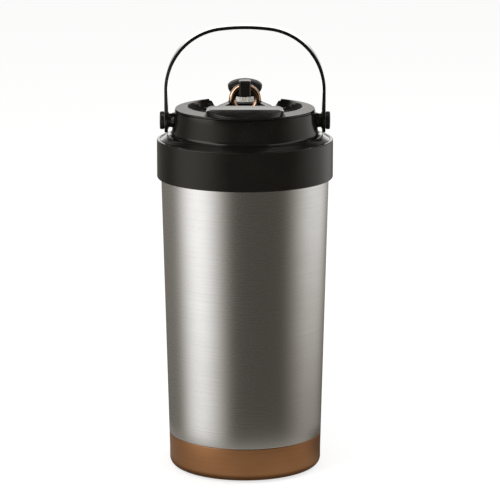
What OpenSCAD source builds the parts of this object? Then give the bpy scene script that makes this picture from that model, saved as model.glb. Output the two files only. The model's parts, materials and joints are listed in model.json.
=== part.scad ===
// Insulated steel growler with a copper base cup, a locking collar, a bail handle,
// a hinged pour flap and a ring-pull vent valve.
// Millimetres, +Z up, origin on the table under the middle of the body. The pour flap faces -Y.

/* [Vessel] */
// Diameter of the steel body at the top edge of the base cup
body_low_d = 114; // [104:0.5:120]
// Diameter of the steel body under the collar
body_top_d = 124; // [120:0.5:132]
// Height of the tapered body wall above the table
body_h = 222; // [150:1:300]
// Wall of the outer shell
shell_t = 0.8; // [0.5:0.1:1]
// Wall of the inner liner
liner_t = 0.8; // [0.5:0.1:1]
// Vacuum space between shell and liner
vacuum_gap = 3.6; // [2.5:0.1:6]
// Vacuum space between shell and liner at the neck
neck_gap = 2; // [1.2:0.1:2.6]
// Vacuum space between the shell's bottom and the liner's floor
floor_gap = 4; // [2:0.5:10]
// Rounding between the liner's wall and floor
liner_corner_r = 10; // [4:0.5:16]
// How far the shell steps in from the body to the neck
shoulder_in = 4.8; // [4.2:0.1:5.4]
// Height of the sloped shoulder
shoulder_h = 5; // [4:0.5:8]
// Height of the straight neck above the shoulder
neck_h = 15.4; // [15:0.1:24]
// Thickness of the rolled lip
lip_t = 1; // [0.6:0.1:1.6]
// Radius of the sealing button in the shell's bottom
seal_button_r = 5; // [3:0.5:8]
// Thickness of the sealing button's head
seal_button_t = 1.2; // [0.6:0.1:2]

/* [Base] */
// Height of the base cup's top edge above the table
cup_h = 25.9; // [15:0.1:45]
// Wall of the base cup
cup_t = 1; // [0.6:0.1:1.6]
// Rounding of the base cup's lower edge
cup_edge_r = 8.5; // [2:0.1:9]
// Thickness of the foot pad
foot_h = 1; // [0.6:0.1:3]
// Diameter of the foot pad
foot_d = 94; // [70:1:95]
// Diameter of the hollow in the middle of the foot pad
foot_hollow_d = 64; // [40:1:66]

/* [Locking collar] */
// Wall of the collar's skirt
collar_t = 2.6; // [2:0.1:5]
// How far the collar's skirt hangs over the body
collar_overlap = 2.5; // [1:0.1:6]
// Rounding of the collar's top edge
collar_top_r = 1.7; // [0.6:0.1:1.8]
// Rounding of the collar's lower edge
collar_low_r = 1.2; // [0.4:0.1:1.8]
// How far the collar's lip reaches over the lid's flange
lip_overlap = 2.2; // [1.5:0.1:2.6]
// Thickness of the collar's lip at its inner edge
collar_lip_t = 3.1; // [2.6:0.1:5]
// Fall of the collar's top from the lip to the edge bead
collar_fall = 3.2; // [1:0.1:3.4]
// Width of the bead at the collar's top edge
bead_w = 2; // [1.9:0.1:3]
// Width of the groove inside the bead
bead_groove_w = 0.6; // [0.3:0.1:1]
// Depth of the groove inside the bead
bead_groove_h = 0.6; // [0.3:0.1:1]
// Number of locking lugs
lug_count = 4; // [3:1:5]
// Angle that one lug spans
lug_angle = 34; // [20:1:34]
// Height of one lug
lug_h = 3.4; // [2:0.1:3.6]
// How far the vessel's lugs stand out from the neck
lug_reach = 2.3; // [1.5:0.1:2.6]
// Height of the collar's lugs above the shoulder
lug_rise = 3.5; // [2:0.1:4]

/* [Lid] */
// Thickness of the lid gasket
gasket_t = 2; // [1:0.1:3]
// Thickness of the lid's flange and web
flange_t = 2.5; // [2:0.1:4]
// Height of the lid neck from the flange's top to the rim
lid_neck_h = 23; // [20:0.5:32]
// Wall of the lid neck at its top
lid_t = 2.6; // [2:0.1:3]
// Radius of the cove at the foot of the neck
cove_r = 3.2; // [2:0.1:4]
// How much the neck's radius falls from the cove to the top
neck_taper = 2; // [0.5:0.1:3]
// Depth of the plug below the lid's web
plug_h = 23.5; // [12:0.5:40]
// Wall and floor of the plug
plug_t = 2; // [1.5:0.1:3]
// Radial room between the plug and the mouth
plug_gap = 1; // [0.5:0.1:2]
// Radius of a plug screw's shank
screw_r = 1.5; // [1:0.1:2]
// Radius of a plug screw's head
screw_head_r = 2.9; // [2.4:0.1:3.2]
// Height of a plug screw's head
screw_head_h = 1.2; // [0.8:0.1:1.4]
// Radius of the plug's screw posts
post_r = 4.6; // [4:0.1:6]
// Room between a screw post and the plug's wall
post_room = 6; // [2:0.5:9]

/* [Deck] */
// Height of the deck's edge above the neck
deck_edge_h = 1.4; // [1:0.1:2.5]
// Rounding of the deck's edge
deck_edge_r = 0.9; // [0.3:0.1:1]
// Depth of the deck's recess below the rim
recess_h = 6.3; // [4:0.1:7]
// How much smaller the recess is than the deck, in radius
recess_in = 6.4; // [6:0.1:10]
// How far the recess lies to the rear
recess_back = 9.6; // [8:0.1:11]
// How much narrower the recess is at its floor
recess_draft = 3.2; // [1:0.1:5]
// Thickness of the deck under the recess
deck_t = 3; // [2:0.1:4]
// Width of the rear notch at the rim
notch_top_w = 54; // [40:0.5:60]
// Width of the rear notch at the recess floor
notch_low_w = 47; // [30:0.5:50]

/* [Pour spout] */
// Bore of the pour tube
pour_bore_d = 10.4; // [6:0.1:11]
// Wall of the pour tube
pour_t = 1.2; // [0.8:0.1:1.4]
// Width of the pour tube's flange beyond its wall
pour_flange_w = 0.8; // [0.5:0.1:0.9]
// Thickness of the pour tube's flange
pour_flange_t = 1.5; // [1:0.1:2.5]
// Room between the pour tube and the plug's wall
pour_room = 3.2; // [3:0.1:3.7]
// Thickness of the flap
flap_t = 4.6; // [4:0.1:6]
// Width of the flap
flap_w = 57; // [46:0.5:62]
// Distance of the flap's nose in front of the axis
flap_reach = 60.5; // [56:0.5:63]
// Rounding of the flap's sides
flap_side_r = 3.4; // [1:0.1:3.6]
// Depth of the flap's slanted front
flap_slant = 19.5; // [12:0.5:22]
// Height of the flap's upright nose
flap_land = 1.4; // [1:0.1:2]
// Distance of the flap's hinge in front of the axis
hinge_front = 24; // [23:0.1:25]
// Length of the flap's hinge barrel
barrel_len = 31.6; // [28:0.1:33]
// Radius of the hinge pin
pin_r = 1; // [0.7:0.1:1.3]
// Thickness of a hinge post
hinge_post_t = 3.4; // [2.5:0.1:5]
// Thickness of the flap's seal
flap_seal_t = 1.7; // [1.2:0.1:2.2]

/* [Vent valve] */
// Radius of the valve base at the recess floor
base_r = 20.4; // [17:0.1:20.5]
// Radius of the valve base's flat top
base_top_r = 12.5; // [9:0.1:14]
// Height of the valve base's straight wall
base_wall_h = 7.6; // [4:0.1:8]
// Height of the valve base
base_h = 10.9; // [9.5:0.1:12]
// Distance between the valve base's flats
base_flats = 19.6; // [14:0.1:20]
// Radius of the valve body
valve_r = 5; // [4.6:0.1:5.4]
// Bore of the valve body
valve_bore_r = 3.6; // [3.4:0.1:3.9]
// Radius of the vent tube below the valve body
vent_tube_r = 4; // [3.2:0.1:4.4]
// Hole in the valve seat
seat_r = 2.2; // [1:0.1:2.6]
// Thickness of the valve seat
seat_t = 1.4; // [1:0.1:2.5]
// Length of the valve body below the deck
valve_drop = 5; // [4.5:0.1:6]
// Radius of the valve body's flange
valve_flange_r = 9; // [7.5:0.1:11]
// Thickness of the valve body's flange
valve_flange_t = 2; // [1:0.1:2.5]
// Thickness of the gasket under the deck
valve_gasket_t = 1; // [0.6:0.1:1.4]
// Thickness of the washer on the valve base
valve_washer_t = 0.6; // [0.4:0.1:1]
// Radius of the fluted collar
flute_r = 7.2; // [6.6:0.1:8]
// Height of the fluted collar
flute_h = 3.4; // [3:0.1:5]
// Number of flutes
flute_count = 18; // [10:1:20]
// Depth of a flute
flute_depth = 0.5; // [0.2:0.1:0.7]
// Radius of the flute cutter
flute_cut_r = 0.9; // [0.7:0.1:1]
// Thickness of the fluted collar's roof
flute_roof_t = 1.5; // [1:0.1:1.8]
// Radius of the vent stem
stem_r = 1.5; // [1.2:0.1:1.7]
// Radius of the poppet on the stem
poppet_r = 3.2; // [2.9:0.1:3.3]
// Thickness of the poppet
poppet_t = 1.5; // [1:0.1:2]
// Thickness of the vent seal
vent_seal_t = 1.5; // [1:0.1:2]
// Radius of the spring's wire
wire_r = 0.28; // [0.2:0.01:0.32]
// Number of the spring's turns
spring_turns = 7; // [5:1:8]

/* [Knob and ring] */
// Radius of the knob
knob_r = 12.7; // [12:0.1:14]
// Height of the knob
knob_h = 12.8; // [12:0.1:16]
// Height of the knob's crown above its widest place
knob_crown_h = 5.2; // [4:0.1:7]
// Radius of the knob's underside
knob_foot_r = 7; // [6:0.1:9]
// Depth of the flat at the knob's front
knob_flat = 2.7; // [2.2:0.1:3]
// Thickness of the ring's round bar
ring_bar_d = 5.2; // [3:0.1:5.3]
// Radius of the middle of the ring's bar
ring_mid_r = 9.3; // [8.6:0.1:9.4]
// Width of the lug
lug_w = 8.6; // [6:0.1:9]
// Thickness of the lug
lug_t = 2.2; // [1.5:0.1:2.4]
// Height of the lug's front leg
lug_leg_h = 11.7; // [9:0.1:13]
// How far the lug stands above the knob
lug_proud = 0.7; // [0.3:0.1:1]
// Fall of the lug's top towards the knob
lug_fall = 0.9; // [0.3:0.1:1]
// Length of the lug's tongue inside the knob
lug_tongue = 6.8; // [4:0.1:7.5]
// Chamfer of the lug's edges
lug_chamfer = 1.2; // [0.3:0.1:1.4]
// Length of the stem inside the knob
stem_grip = 8; // [4:0.1:9]

/* [Bail handle] */
// Distance of the handle's pivot below the rim
pivot_drop = 9.3; // [8.5:0.1:10]
// Height of the strap's middle above the pivot at the top of the arch
handle_rise = 69.5; // [60:0.1:100]
// Thickness of the strap
strap_t = 2.4; // [1.5:0.1:3]
// Width of the strap
strap_w = 16; // [10:0.1:17]
// Radius of the strap's eye
eye_r = 9.2; // [8.5:0.1:9.6]
// Radius of the arch's corners, to the strap's middle
arch_corner_r = 45.5; // [30:0.5:50]
// Radius of the arch's top, to the strap's middle
arch_top_r = 144; // [100:1:200]
// How far an ear boss's end lies inside the lid's foot
boss_in = 0.8; // [0.2:0.1:1.2]
// Radius of an ear boss
boss_r = 5.2; // [4.6:0.1:6]
// Radius of an ear boss where it meets the neck
boss_root_r = 6.8; // [6:0.1:7.4]
// Radius of a stud's shank
stud_r = 3; // [2:0.1:3.4]
// Depth of a stud in its boss
stud_grip = 5; // [3:0.1:5.5]
// Radius of a stud's head
stud_head_r = 6.7; // [5:0.1:8]
// Thickness of a stud's head
stud_head_t = 2.9; // [1.5:0.1:3]
// Rounding of a stud's head
stud_edge_r = 1; // [0.3:0.1:1.4]
// Radius of a washer
washer_r = 6.2; // [5:0.1:7.5]
// Thickness of a washer
washer_t = 0.5; // [0.3:0.1:1]

/* [Clearances] */
// Gap between curved faces that move past each other
run_gap = 0.3; // [0.3:0.01:0.4]
// Radial clearance of a pin or stem in its bore
pin_gap = 0.05; // [0.02:0.01:0.1]
// Gap between fixed pieces that fit into each other
fit_gap = 0.1; // [0.05:0.01:0.2]
// Play on each side of the strap
strap_play = 0.1; // [0.05:0.01:0.3]
// Gap between the collar's skirt and the body
skirt_gap = 0.4; // [0.3:0.05:1]
// Gap between the lugs that pass each other
lug_gap = 0.4; // [0.3:0.05:0.5]
// Visible seam between neck and deck
seam_gap = 0.3; // [0.1:0.05:0.6]

/* [Hidden] */
$fn = 96;

// Extra length of cutting shapes
over = 1;

// Steps of the strap's corner and top arcs, of the knob's outline and of one spring turn
corner_steps = 20;
top_steps = 12;
knob_steps = 24;
turn_steps = 10;

// Colours
steel = "#b9b7b2";
copper = "#8a5c3c";
black = "#262523";
rubber = "#1b1b1b";
white = "#e6e4de";
silicone = "#cfcfc8";

// Vessel, from the table up
body_low_r = body_low_d / 2;
body_top_r = body_top_d / 2;
shell_in = cup_t + pin_gap;
cup_bend_z = foot_h + cup_edge_r;
shell_z = cup_bend_z + fit_gap;
step_z = cup_h + fit_gap;
liner_z = shell_z + shell_t + floor_gap;
liner_bend_z = liner_z + liner_corner_r;
shoulder_z = body_h + shoulder_h;
lip_z = shoulder_z + neck_h;
lip_top_z = lip_z + lip_t;
neck_r = body_top_r - shoulder_in;
liner_neck_r = neck_r - shell_t - neck_gap;
mouth_r = liner_neck_r - liner_t;

// Lid and collar, from the lip up
gasket_z = lip_top_z + fit_gap;
web_z = gasket_z + gasket_t;
flange_z = web_z + flange_t;
collar_lip_z = flange_z + run_gap;
collar_top_z = collar_lip_z + collar_lip_t;
collar_z = body_h - collar_overlap;
collar_r = body_top_r + skirt_gap + collar_t;
bore_r = neck_r + lug_reach + lug_gap;
flange_r = bore_r - run_gap;
collar_lip_r = flange_r - lip_overlap;
foot_r = collar_lip_r - skirt_gap;
collar_lug_z = shoulder_z + lug_rise;
vessel_lug_z = collar_lug_z + lug_h + lug_gap;
rim_z = flange_z + lid_neck_h;
cove_z = collar_top_z - fit_gap;
neck_low_r = foot_r - cove_r;
neck_top_r = neck_low_r - neck_taper;
neck_top_z = rim_z - deck_edge_h - seam_gap;

// Plug
plug_r = mouth_r - plug_gap;
plug_z = web_z - plug_h;
plug_floor_z = plug_z + plug_t;
screw_ring_r = plug_r - plug_t - post_r - post_room;

// Deck
deck_r = neck_top_r - lid_t - fit_gap;
deck_floor_z = rim_z - recess_h;
deck_under_z = deck_floor_z - deck_t;
recess_r = deck_r - recess_in;
pour_r = pour_bore_d / 2 + pour_t;
pour_flange_r = pour_r + pour_flange_w;
pour_front = plug_r - plug_t - pour_r - pour_room;

// Flap
flap_z = rim_z + run_gap + fit_gap;
flap_top_z = flap_z + flap_t;
nose_r = flap_w / 2;
nose_front = flap_reach - nose_r;
pin_z = flap_z + flap_t / 2;
barrel_r = flap_t / 2;
hinge_post_r = barrel_r + pin_r / 2;
flap_rear = hinge_front + hinge_post_r + run_gap * 2;
pin_len = barrel_len + 2 * (fit_gap + hinge_post_t);
post_slot_w = hinge_post_t + 2 * fit_gap;
flap_seal_r = pour_flange_r - run_gap;
flap_seal_z = rim_z + fit_gap;

// Vent valve, from the deck up
valve_z = deck_under_z - valve_drop;
base_top_z = deck_floor_z + base_h;
flute_z = base_top_z + valve_washer_t;
flute_top_z = flute_z + flute_h;
flute_roof_z = flute_top_z - flute_roof_t;
vent_seal_z = valve_z + seat_t + fit_gap;
poppet_z = vent_seal_z + vent_seal_t;
spring_z = poppet_z + poppet_t + fit_gap;
spring_top_z = flute_roof_z - fit_gap;
spring_r = (stem_r + valve_bore_r) / 2;

// Knob, lug and ring
knob_z = flute_top_z + run_gap;
knob_top_z = knob_z + knob_h;
knob_mid_z = knob_top_z - knob_crown_h;
knob_low_h = (knob_mid_z - knob_z) / sqrt(1 - pow(knob_foot_r / knob_r, 2));
knob_foot_a = -acos(knob_foot_r / knob_r);
knob_front = knob_r - knob_flat;
ring_bar_r = ring_bar_d / 2;
ring_front = knob_front + ring_bar_r + run_gap + fit_gap;
lug_back = ring_front + ring_bar_r + 2 * run_gap;
lug_front = lug_back + lug_t;
lug_top_z = knob_top_z + lug_proud;
lug_under_z = lug_top_z - lug_t;
ring_eye_z = lug_under_z - run_gap - ring_bar_r;
ring_z = ring_eye_z - ring_mid_r;

// Handle
pivot_z = rim_z - pivot_drop;
boss_x = foot_r - boss_in;
strap_x = boss_x + washer_t + strap_play;
strap_mid_x = strap_x + strap_t / 2;
outer_washer_x = strap_x + strap_t + strap_play;
stud_head_x = outer_washer_x + washer_t;
arch_corner_x = strap_mid_x - arch_corner_r;
arch_angle = acos(arch_corner_x / (arch_top_r - arch_corner_r));
arch_top_mid_z = pivot_z + handle_rise - arch_top_r;
arch_corner_z = arch_top_mid_z + (arch_top_r - arch_corner_r) * sin(arch_angle);

// Outer radius of the body at height z
function body_r(z) = body_low_r + (body_top_r - body_low_r) * (z - cup_h) / (body_h - cup_h);

// Outer radius of the liner at height z
function liner_r(z) = body_r(z) - shell_t - vacuum_gap;

// Point on a helix of radius r that climbs from z0 to z1 in the given turns, at share s of its length
function helix(r, z0, z1, turns, s) =
  [r * cos(360 * turns * s), r * sin(360 * turns * s), z0 + (z1 - z0) * s];

// Points on an arc about [x, z], from angle a0 to a1
function arc_points(x, z, r, a0, a1, steps) =
  [for (i = [0 : steps]) let (a = a0 + (a1 - a0) * i / steps) [x + r * cos(a), z + r * sin(a)]];

// Path of the strap from the right pivot to the left, set out from its middle by d
function arch_path(d) = concat(
  [[strap_mid_x + d, pivot_z]],
  arc_points(arch_corner_x, arch_corner_z, arch_corner_r + d, 0, arch_angle, corner_steps),
  arc_points(0, arch_top_mid_z, arch_top_r + d, arch_angle, 180 - arch_angle, top_steps),
  arc_points(-arch_corner_x, arch_corner_z, arch_corner_r + d, 180 - arch_angle, 180, corner_steps),
  [[-strap_mid_x - d, pivot_z]]
);

// Positions of the plug screws
screw_angles = [90, 210, 330];

// What is cut off to round a corner at [x, z]; sx and sz point out of the body
module corner_cut(x, z, r, sx, sz) {
  difference() {
    translate([x - (sx > 0 ? r : over), z - (sz > 0 ? r : over)])
      square(r + over);
    translate([x - sx * r, z - sz * r])
      circle(r);
  }
}

// Round bar along X, from x0 to x1, at height z and distance y from the axis
module bar_x(x0, x1, y, z, r) {
  translate([x0, y, z])
    rotate([0, 90, 0])
      cylinder(r = r, h = x1 - x0);
}

// Ring from z0 to z1
module tube(r_out, r_in, z0, z1) {
  translate([0, 0, z0])
    difference() {
      cylinder(r = r_out, h = z1 - z0);
      translate([0, 0, -over])
        cylinder(r = r_in, h = z1 - z0 + 2 * over);
    }
}

// Upright hole that passes z0 and z1
module drill(r, z0, z1) {
  translate([0, 0, z0 - over])
    cylinder(r = r, h = z1 - z0 + 2 * over);
}

// Children at each plug screw
module at_screws() {
  for (a = screw_angles)
    rotate([0, 0, a])
      translate([screw_ring_r, 0, 0])
        children();
}

// Children at the pour tube
module at_pour() {
  translate([0, -pour_front, 0])
    children();
}

// Part rings that serve as locking lugs
module lugs(r_in, r_out, z, turn) {
  for (k = [0 : lug_count - 1])
    rotate([0, 0, k * 360 / lug_count + turn - lug_angle / 2])
      rotate_extrude(angle = lug_angle)
        translate([r_in, z])
          square([r_out - r_in, lug_h]);
}

// Rear notch through the deck and the neck
module rear_notch() {
  slope = (notch_top_w - notch_low_w) / 2 / recess_h;
  rise = recess_h + over;
  translate([0, foot_r + over, deck_floor_z])
    rotate([90, 0, 0])
      linear_extrude(foot_r + over - recess_back)
        polygon([
          [-notch_low_w / 2, 0],
          [notch_low_w / 2, 0],
          [notch_low_w / 2 + slope * rise, rise],
          [-notch_low_w / 2 - slope * rise, rise]
        ]);
}

// Half outline of the liner, taken in by t
module liner_outline(t) {
  wall_r = liner_r(liner_bend_z) - t;
  difference() {
    polygon([
      [0, liner_z + t],
      [wall_r, liner_z + t],
      [wall_r, liner_bend_z],
      [liner_r(body_h) - t, body_h],
      [liner_neck_r - t, shoulder_z],
      [liner_neck_r - t, lip_top_z + (t > 0 ? over : 0)],
      [0, lip_top_z + (t > 0 ? over : 0)]
    ]);
    corner_cut(wall_r, liner_z + t, liner_corner_r - t, 1, -1);
  }
}

// Half outline of the base cup, taken in by t
module cup_outline(t) {
  wall_r = body_r(cup_bend_z) - t;
  difference() {
    polygon([
      [0, foot_h + t],
      [wall_r, foot_h + t],
      [wall_r, cup_bend_z],
      [body_r(cup_h) - t, cup_h],
      [body_r(cup_h) - t, cup_h + (t > 0 ? over : 0)],
      [0, cup_h + (t > 0 ? over : 0)]
    ]);
    corner_cut(wall_r, foot_h + t, cup_edge_r - t, 1, -1);
  }
}

// Tapered outer wall, drawn in under the base cup and at the neck
module outer_shell() {
  inner_step_z = step_z + shell_t;
  color(steel)
    union() {
      rotate_extrude()
        polygon([
          [body_r(shell_z) - shell_in, shell_z],
          [body_r(step_z) - shell_in, step_z],
          [body_r(step_z), step_z],
          [body_top_r, body_h],
          [neck_r, shoulder_z],
          [neck_r, lip_z],
          [neck_r - shell_t, lip_z],
          [neck_r - shell_t, shoulder_z],
          [body_top_r - shell_t, body_h],
          [body_r(inner_step_z) - shell_t, inner_step_z],
          [body_r(inner_step_z) - shell_in - shell_t, inner_step_z],
          [body_r(shell_z) - shell_in - shell_t, shell_z]
        ]);
      lugs(neck_r - shell_t / 2, neck_r + lug_reach, vessel_lug_z, 0);
    }
}

// Inner wall with the lip that closes the vacuum space
module inner_liner() {
  color(steel)
    rotate_extrude()
      difference() {
        union() {
          liner_outline(0);
          translate([mouth_r, lip_z])
            square([neck_r - mouth_r, lip_t]);
        }
        liner_outline(liner_t);
        square([body_top_r, liner_bend_z]);
      }
}

// Dished floor that is welded into the inner wall
module liner_floor() {
  color(steel)
    rotate_extrude()
      intersection() {
        difference() {
          liner_outline(0);
          liner_outline(liner_t);
        }
        square([body_top_r, liner_bend_z]);
      }
}

// Disc that closes the shell
module shell_bottom() {
  disc_r = body_r(shell_z) - shell_in - shell_t - pin_gap;
  color(steel)
    difference() {
      translate([0, 0, shell_z])
        cylinder(r = disc_r, h = shell_t);
      drill(seal_button_r / 2, shell_z, shell_z + shell_t);
    }
}

// Button that seals the evacuation hole
module vacuum_seal() {
  color(steel)
    union() {
      translate([0, 0, shell_z - seal_button_t])
        cylinder(r = seal_button_r, h = seal_button_t);
      translate([0, 0, shell_z - seal_button_t])
        cylinder(r = seal_button_r / 2 - pin_gap, h = seal_button_t + shell_t);
    }
}

// Copper-coloured cup round the foot of the body
module base_cup() {
  color(copper)
    rotate_extrude()
      difference() {
        cup_outline(0);
        cup_outline(cup_t);
      }
}

// Rubber ring that the growler stands on
module foot_pad() {
  color(rubber)
    tube(foot_d / 2, foot_hollow_d / 2, 0, foot_h);
}

// Collar whose lip holds the lid's flange and whose lugs lock under those of the neck
module lock_collar() {
  bead_z = collar_top_z - collar_fall;
  bead_r = collar_r - bead_w;
  groove_r = bead_r - bead_groove_w;
  bore_z = shoulder_z - run_gap;
  color(black)
    union() {
      rotate_extrude()
        difference() {
          polygon([
            [body_top_r + skirt_gap, collar_z],
            [collar_r, collar_z],
            [collar_r, bead_z],
            [bead_r, bead_z],
            [bead_r, bead_z - bead_groove_h],
            [groove_r, bead_z - bead_groove_h],
            [groove_r, bead_z],
            [collar_lip_r, collar_top_z],
            [collar_lip_r, collar_lip_z],
            [bore_r, collar_lip_z],
            [bore_r, bore_z],
            [body_top_r + skirt_gap, body_h + run_gap]
          ]);
          corner_cut(collar_r, bead_z, collar_top_r, 1, 1);
          corner_cut(collar_r, collar_z, collar_low_r, 1, -1);
        }
      lugs(neck_r + lug_gap, bore_r + lug_gap, collar_lug_z, 180 / lug_count);
    }
}

// Neck of the lid with its flange, web and ear bosses
module lid_neck() {
  root_x = neck_top_r - lid_t;
  root_end_x = neck_low_r + neck_taper / 2;
  color(black)
    difference() {
      union() {
        rotate_extrude()
          difference() {
            polygon([
              [0, web_z],
              [flange_r, web_z],
              [flange_r, flange_z],
              [foot_r, flange_z],
              [foot_r, cove_z + cove_r],
              [neck_low_r, cove_z + cove_r],
              [neck_top_r, neck_top_z],
              [neck_top_r - lid_t, neck_top_z],
              [neck_top_r - lid_t, flange_z],
              [0, flange_z]
            ]);
            translate([foot_r, cove_z + cove_r])
              circle(cove_r);
          }
        for (s = [-1, 1]) {
          bar_x(s > 0 ? root_x : -boss_x, s > 0 ? boss_x : -root_x, 0, pivot_z, boss_r);
          translate([s * root_x, 0, pivot_z])
            rotate([0, s * 90, 0])
              cylinder(r1 = boss_root_r, r2 = boss_r, h = root_end_x - root_x);
        }
      }
      rear_notch();
      for (s = [-1, 1])
        bar_x(s * boss_x - stud_grip, s * boss_x + stud_grip, 0, pivot_z, stud_r + pin_gap);
      at_pour()
        drill(pour_r + fit_gap, web_z, flange_z);
      drill(vent_tube_r + fit_gap, web_z, flange_z);
      at_screws()
        drill(screw_r + pin_gap, web_z, flange_z);
    }
}

// Deck with the recess, the rear notch, the pour hole and the flap's hinge posts
module top_deck() {
  post_x = barrel_len / 2 + fit_gap;
  color(black)
    difference() {
      union() {
        difference() {
          union() {
            translate([0, 0, deck_under_z])
              cylinder(r = deck_r, h = rim_z - deck_edge_h - deck_under_z);
            rotate_extrude()
              difference() {
                translate([0, rim_z - deck_edge_h])
                  square([neck_top_r, deck_edge_h]);
                corner_cut(neck_top_r, rim_z, deck_edge_r, 1, 1);
              }
          }
          translate([0, recess_back, deck_floor_z])
            cylinder(
              r1 = recess_r - recess_draft,
              r2 = recess_r + recess_draft * over / recess_h,
              h = recess_h + over
            );
          rear_notch();
        }
        for (s = [-1, 1]) {
          bar_x(
            s > 0 ? post_x : -post_x - hinge_post_t, s > 0 ? post_x + hinge_post_t : -post_x,
            -hinge_front, pin_z, hinge_post_r
          );
          translate([s > 0 ? post_x : -post_x - hinge_post_t, -hinge_front - hinge_post_r, deck_under_z])
            cube([hinge_post_t, 2 * hinge_post_r, pin_z - deck_under_z]);
        }
      }
      bar_x(-pin_len, pin_len, -hinge_front, pin_z, pin_r + pin_gap);
      drill(valve_r + fit_gap, deck_under_z, deck_floor_z);
      at_pour() {
        drill(pour_r + fit_gap, deck_under_z, rim_z);
        drill(pour_flange_r + fit_gap, rim_z - pour_flange_t + over, rim_z);
      }
    }
}

// Plug that enters the mouth
module lid_plug() {
  color(white)
    difference() {
      union() {
        tube(plug_r, plug_r - plug_t, plug_z, web_z);
        translate([0, 0, plug_z])
          cylinder(r = plug_r, h = plug_t);
        at_screws()
          translate([0, 0, plug_z])
            cylinder(r = post_r, h = plug_h);
      }
      at_pour()
        drill(pour_r + fit_gap, plug_z, plug_floor_z);
      drill(vent_tube_r + fit_gap, plug_z, plug_floor_z);
      at_screws() {
        drill(screw_r + pin_gap, plug_z, web_z);
        translate([0, 0, plug_z - over])
          cylinder(r = screw_head_r + fit_gap, h = screw_head_h + over);
      }
    }
}

// Foam that fills the plug
module insulation_puck() {
  color(white)
    difference() {
      translate([0, 0, plug_floor_z])
        cylinder(r = plug_r - plug_t - fit_gap, h = web_z - plug_floor_z);
      at_pour()
        drill(pour_r + fit_gap, plug_floor_z, web_z);
      drill(vent_tube_r + fit_gap, plug_floor_z, web_z);
      at_screws()
        drill(post_r + fit_gap, plug_floor_z, web_z);
    }
}

// Ring between the lip and the lid's flange
module lid_gasket() {
  color(silicone)
    tube(neck_r, plug_r + fit_gap, gasket_z, web_z);
}

// Screws that hold the plug to the lid's web
module plug_screws() {
  color(steel)
    at_screws()
      union() {
        translate([0, 0, plug_z])
          cylinder(r = screw_head_r, h = screw_head_h);
        translate([0, 0, plug_z])
          cylinder(r = screw_r, h = plug_h + flange_t);
      }
}

// Tube from the vessel to the spout, with a flange set into the deck
module pour_tube() {
  color(black)
    at_pour()
      difference() {
        union() {
          translate([0, 0, plug_z])
            cylinder(r = pour_r, h = rim_z - plug_z);
          translate([0, 0, rim_z - pour_flange_t])
            cylinder(r = pour_flange_r, h = pour_flange_t);
        }
        drill(pour_bore_d / 2, plug_z, rim_z);
      }
}

// Tube from the vessel to the vent valve
module vent_tube() {
  color(white)
    tube(vent_tube_r, seat_r, plug_z, valve_z);
}

// Body of the vent valve, with its seat and the flange that bears on the deck from below
module valve_body() {
  flange_top_z = deck_under_z - valve_gasket_t;
  color(steel)
    difference() {
      union() {
        translate([0, 0, valve_z])
          cylinder(r = valve_r, h = flute_roof_z - valve_z);
        translate([0, 0, flange_top_z - valve_flange_t])
          cylinder(r = valve_flange_r, h = valve_flange_t);
      }
      translate([0, 0, valve_z + seat_t])
        cylinder(r = valve_bore_r, h = flute_roof_z);
      drill(seat_r, valve_z, valve_z + seat_t);
    }
}

// Gasket between the valve body's flange and the deck
module valve_gasket() {
  color(rubber)
    tube(valve_flange_r, valve_r + fit_gap, deck_under_z - valve_gasket_t, deck_under_z);
}

// Base of the vent valve with a flat in front and behind
module valve_base() {
  color(black)
    difference() {
      intersection() {
        rotate_extrude()
          polygon([
            [0, deck_floor_z],
            [base_r, deck_floor_z],
            [base_r, deck_floor_z + base_wall_h],
            [base_top_r, base_top_z],
            [0, base_top_z]
          ]);
        translate([-base_r - over, -base_flats / 2, deck_floor_z])
          cube([2 * (base_r + over), base_flats, base_h]);
      }
      drill(valve_r + fit_gap, deck_floor_z, base_top_z);
    }
}

// Washer between the valve base and the fluted collar
module valve_washer() {
  color(rubber)
    tube(flute_r - flute_depth * 2, valve_r + fit_gap, base_top_z, flute_z);
}

// Fluted nut that clamps the valve base and guides the stem
module fluted_collar() {
  color(steel)
    difference() {
      translate([0, 0, flute_z])
        cylinder(r = flute_r, h = flute_h);
      translate([0, 0, flute_z - over])
        cylinder(r = valve_r + pin_gap, h = flute_roof_z - flute_z + over);
      drill(stem_r + pin_gap, flute_roof_z, flute_top_z);
      for (k = [0 : flute_count - 1])
        rotate([0, 0, k * 360 / flute_count])
          translate([flute_r + flute_cut_r - flute_depth, 0, 0])
            drill(flute_cut_r, flute_z, flute_top_z);
    }
}

// Hinge pin of the flap
module flap_pin() {
  color(steel)
    bar_x(-pin_len / 2, pin_len / 2, -hinge_front, pin_z, pin_r);
}

// Stud that carries one end of the strap; s is the side
module stud(s) {
  color(black)
    translate([s * stud_head_x, 0, pivot_z])
      rotate([0, s * 90, 0])
        union() {
          rotate_extrude()
            difference() {
              square([stud_head_r, stud_head_t]);
              corner_cut(stud_head_r, stud_head_t, stud_edge_r, 1, 1);
            }
          translate([0, 0, -(stud_head_x - boss_x) - stud_grip])
            cylinder(r = stud_r, h = stud_head_x - boss_x + stud_grip);
        }
}

// Left stud
module stud_left() {
  stud(-1);
}

// Right stud
module stud_right() {
  stud(1);
}

// Pair of washers whose inner faces lie at distance x
module washers(x) {
  color(steel)
    for (s = [-1, 1])
      translate([s * x, 0, pivot_z])
        rotate([0, s * 90, 0])
          tube(washer_r, stud_r + pin_gap, 0, washer_t);
}

// Washers between the bosses and the strap
module inner_washers() {
  washers(boss_x);
}

// Washers between the strap and the stud heads
module outer_washers() {
  washers(outer_washer_x);
}

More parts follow.
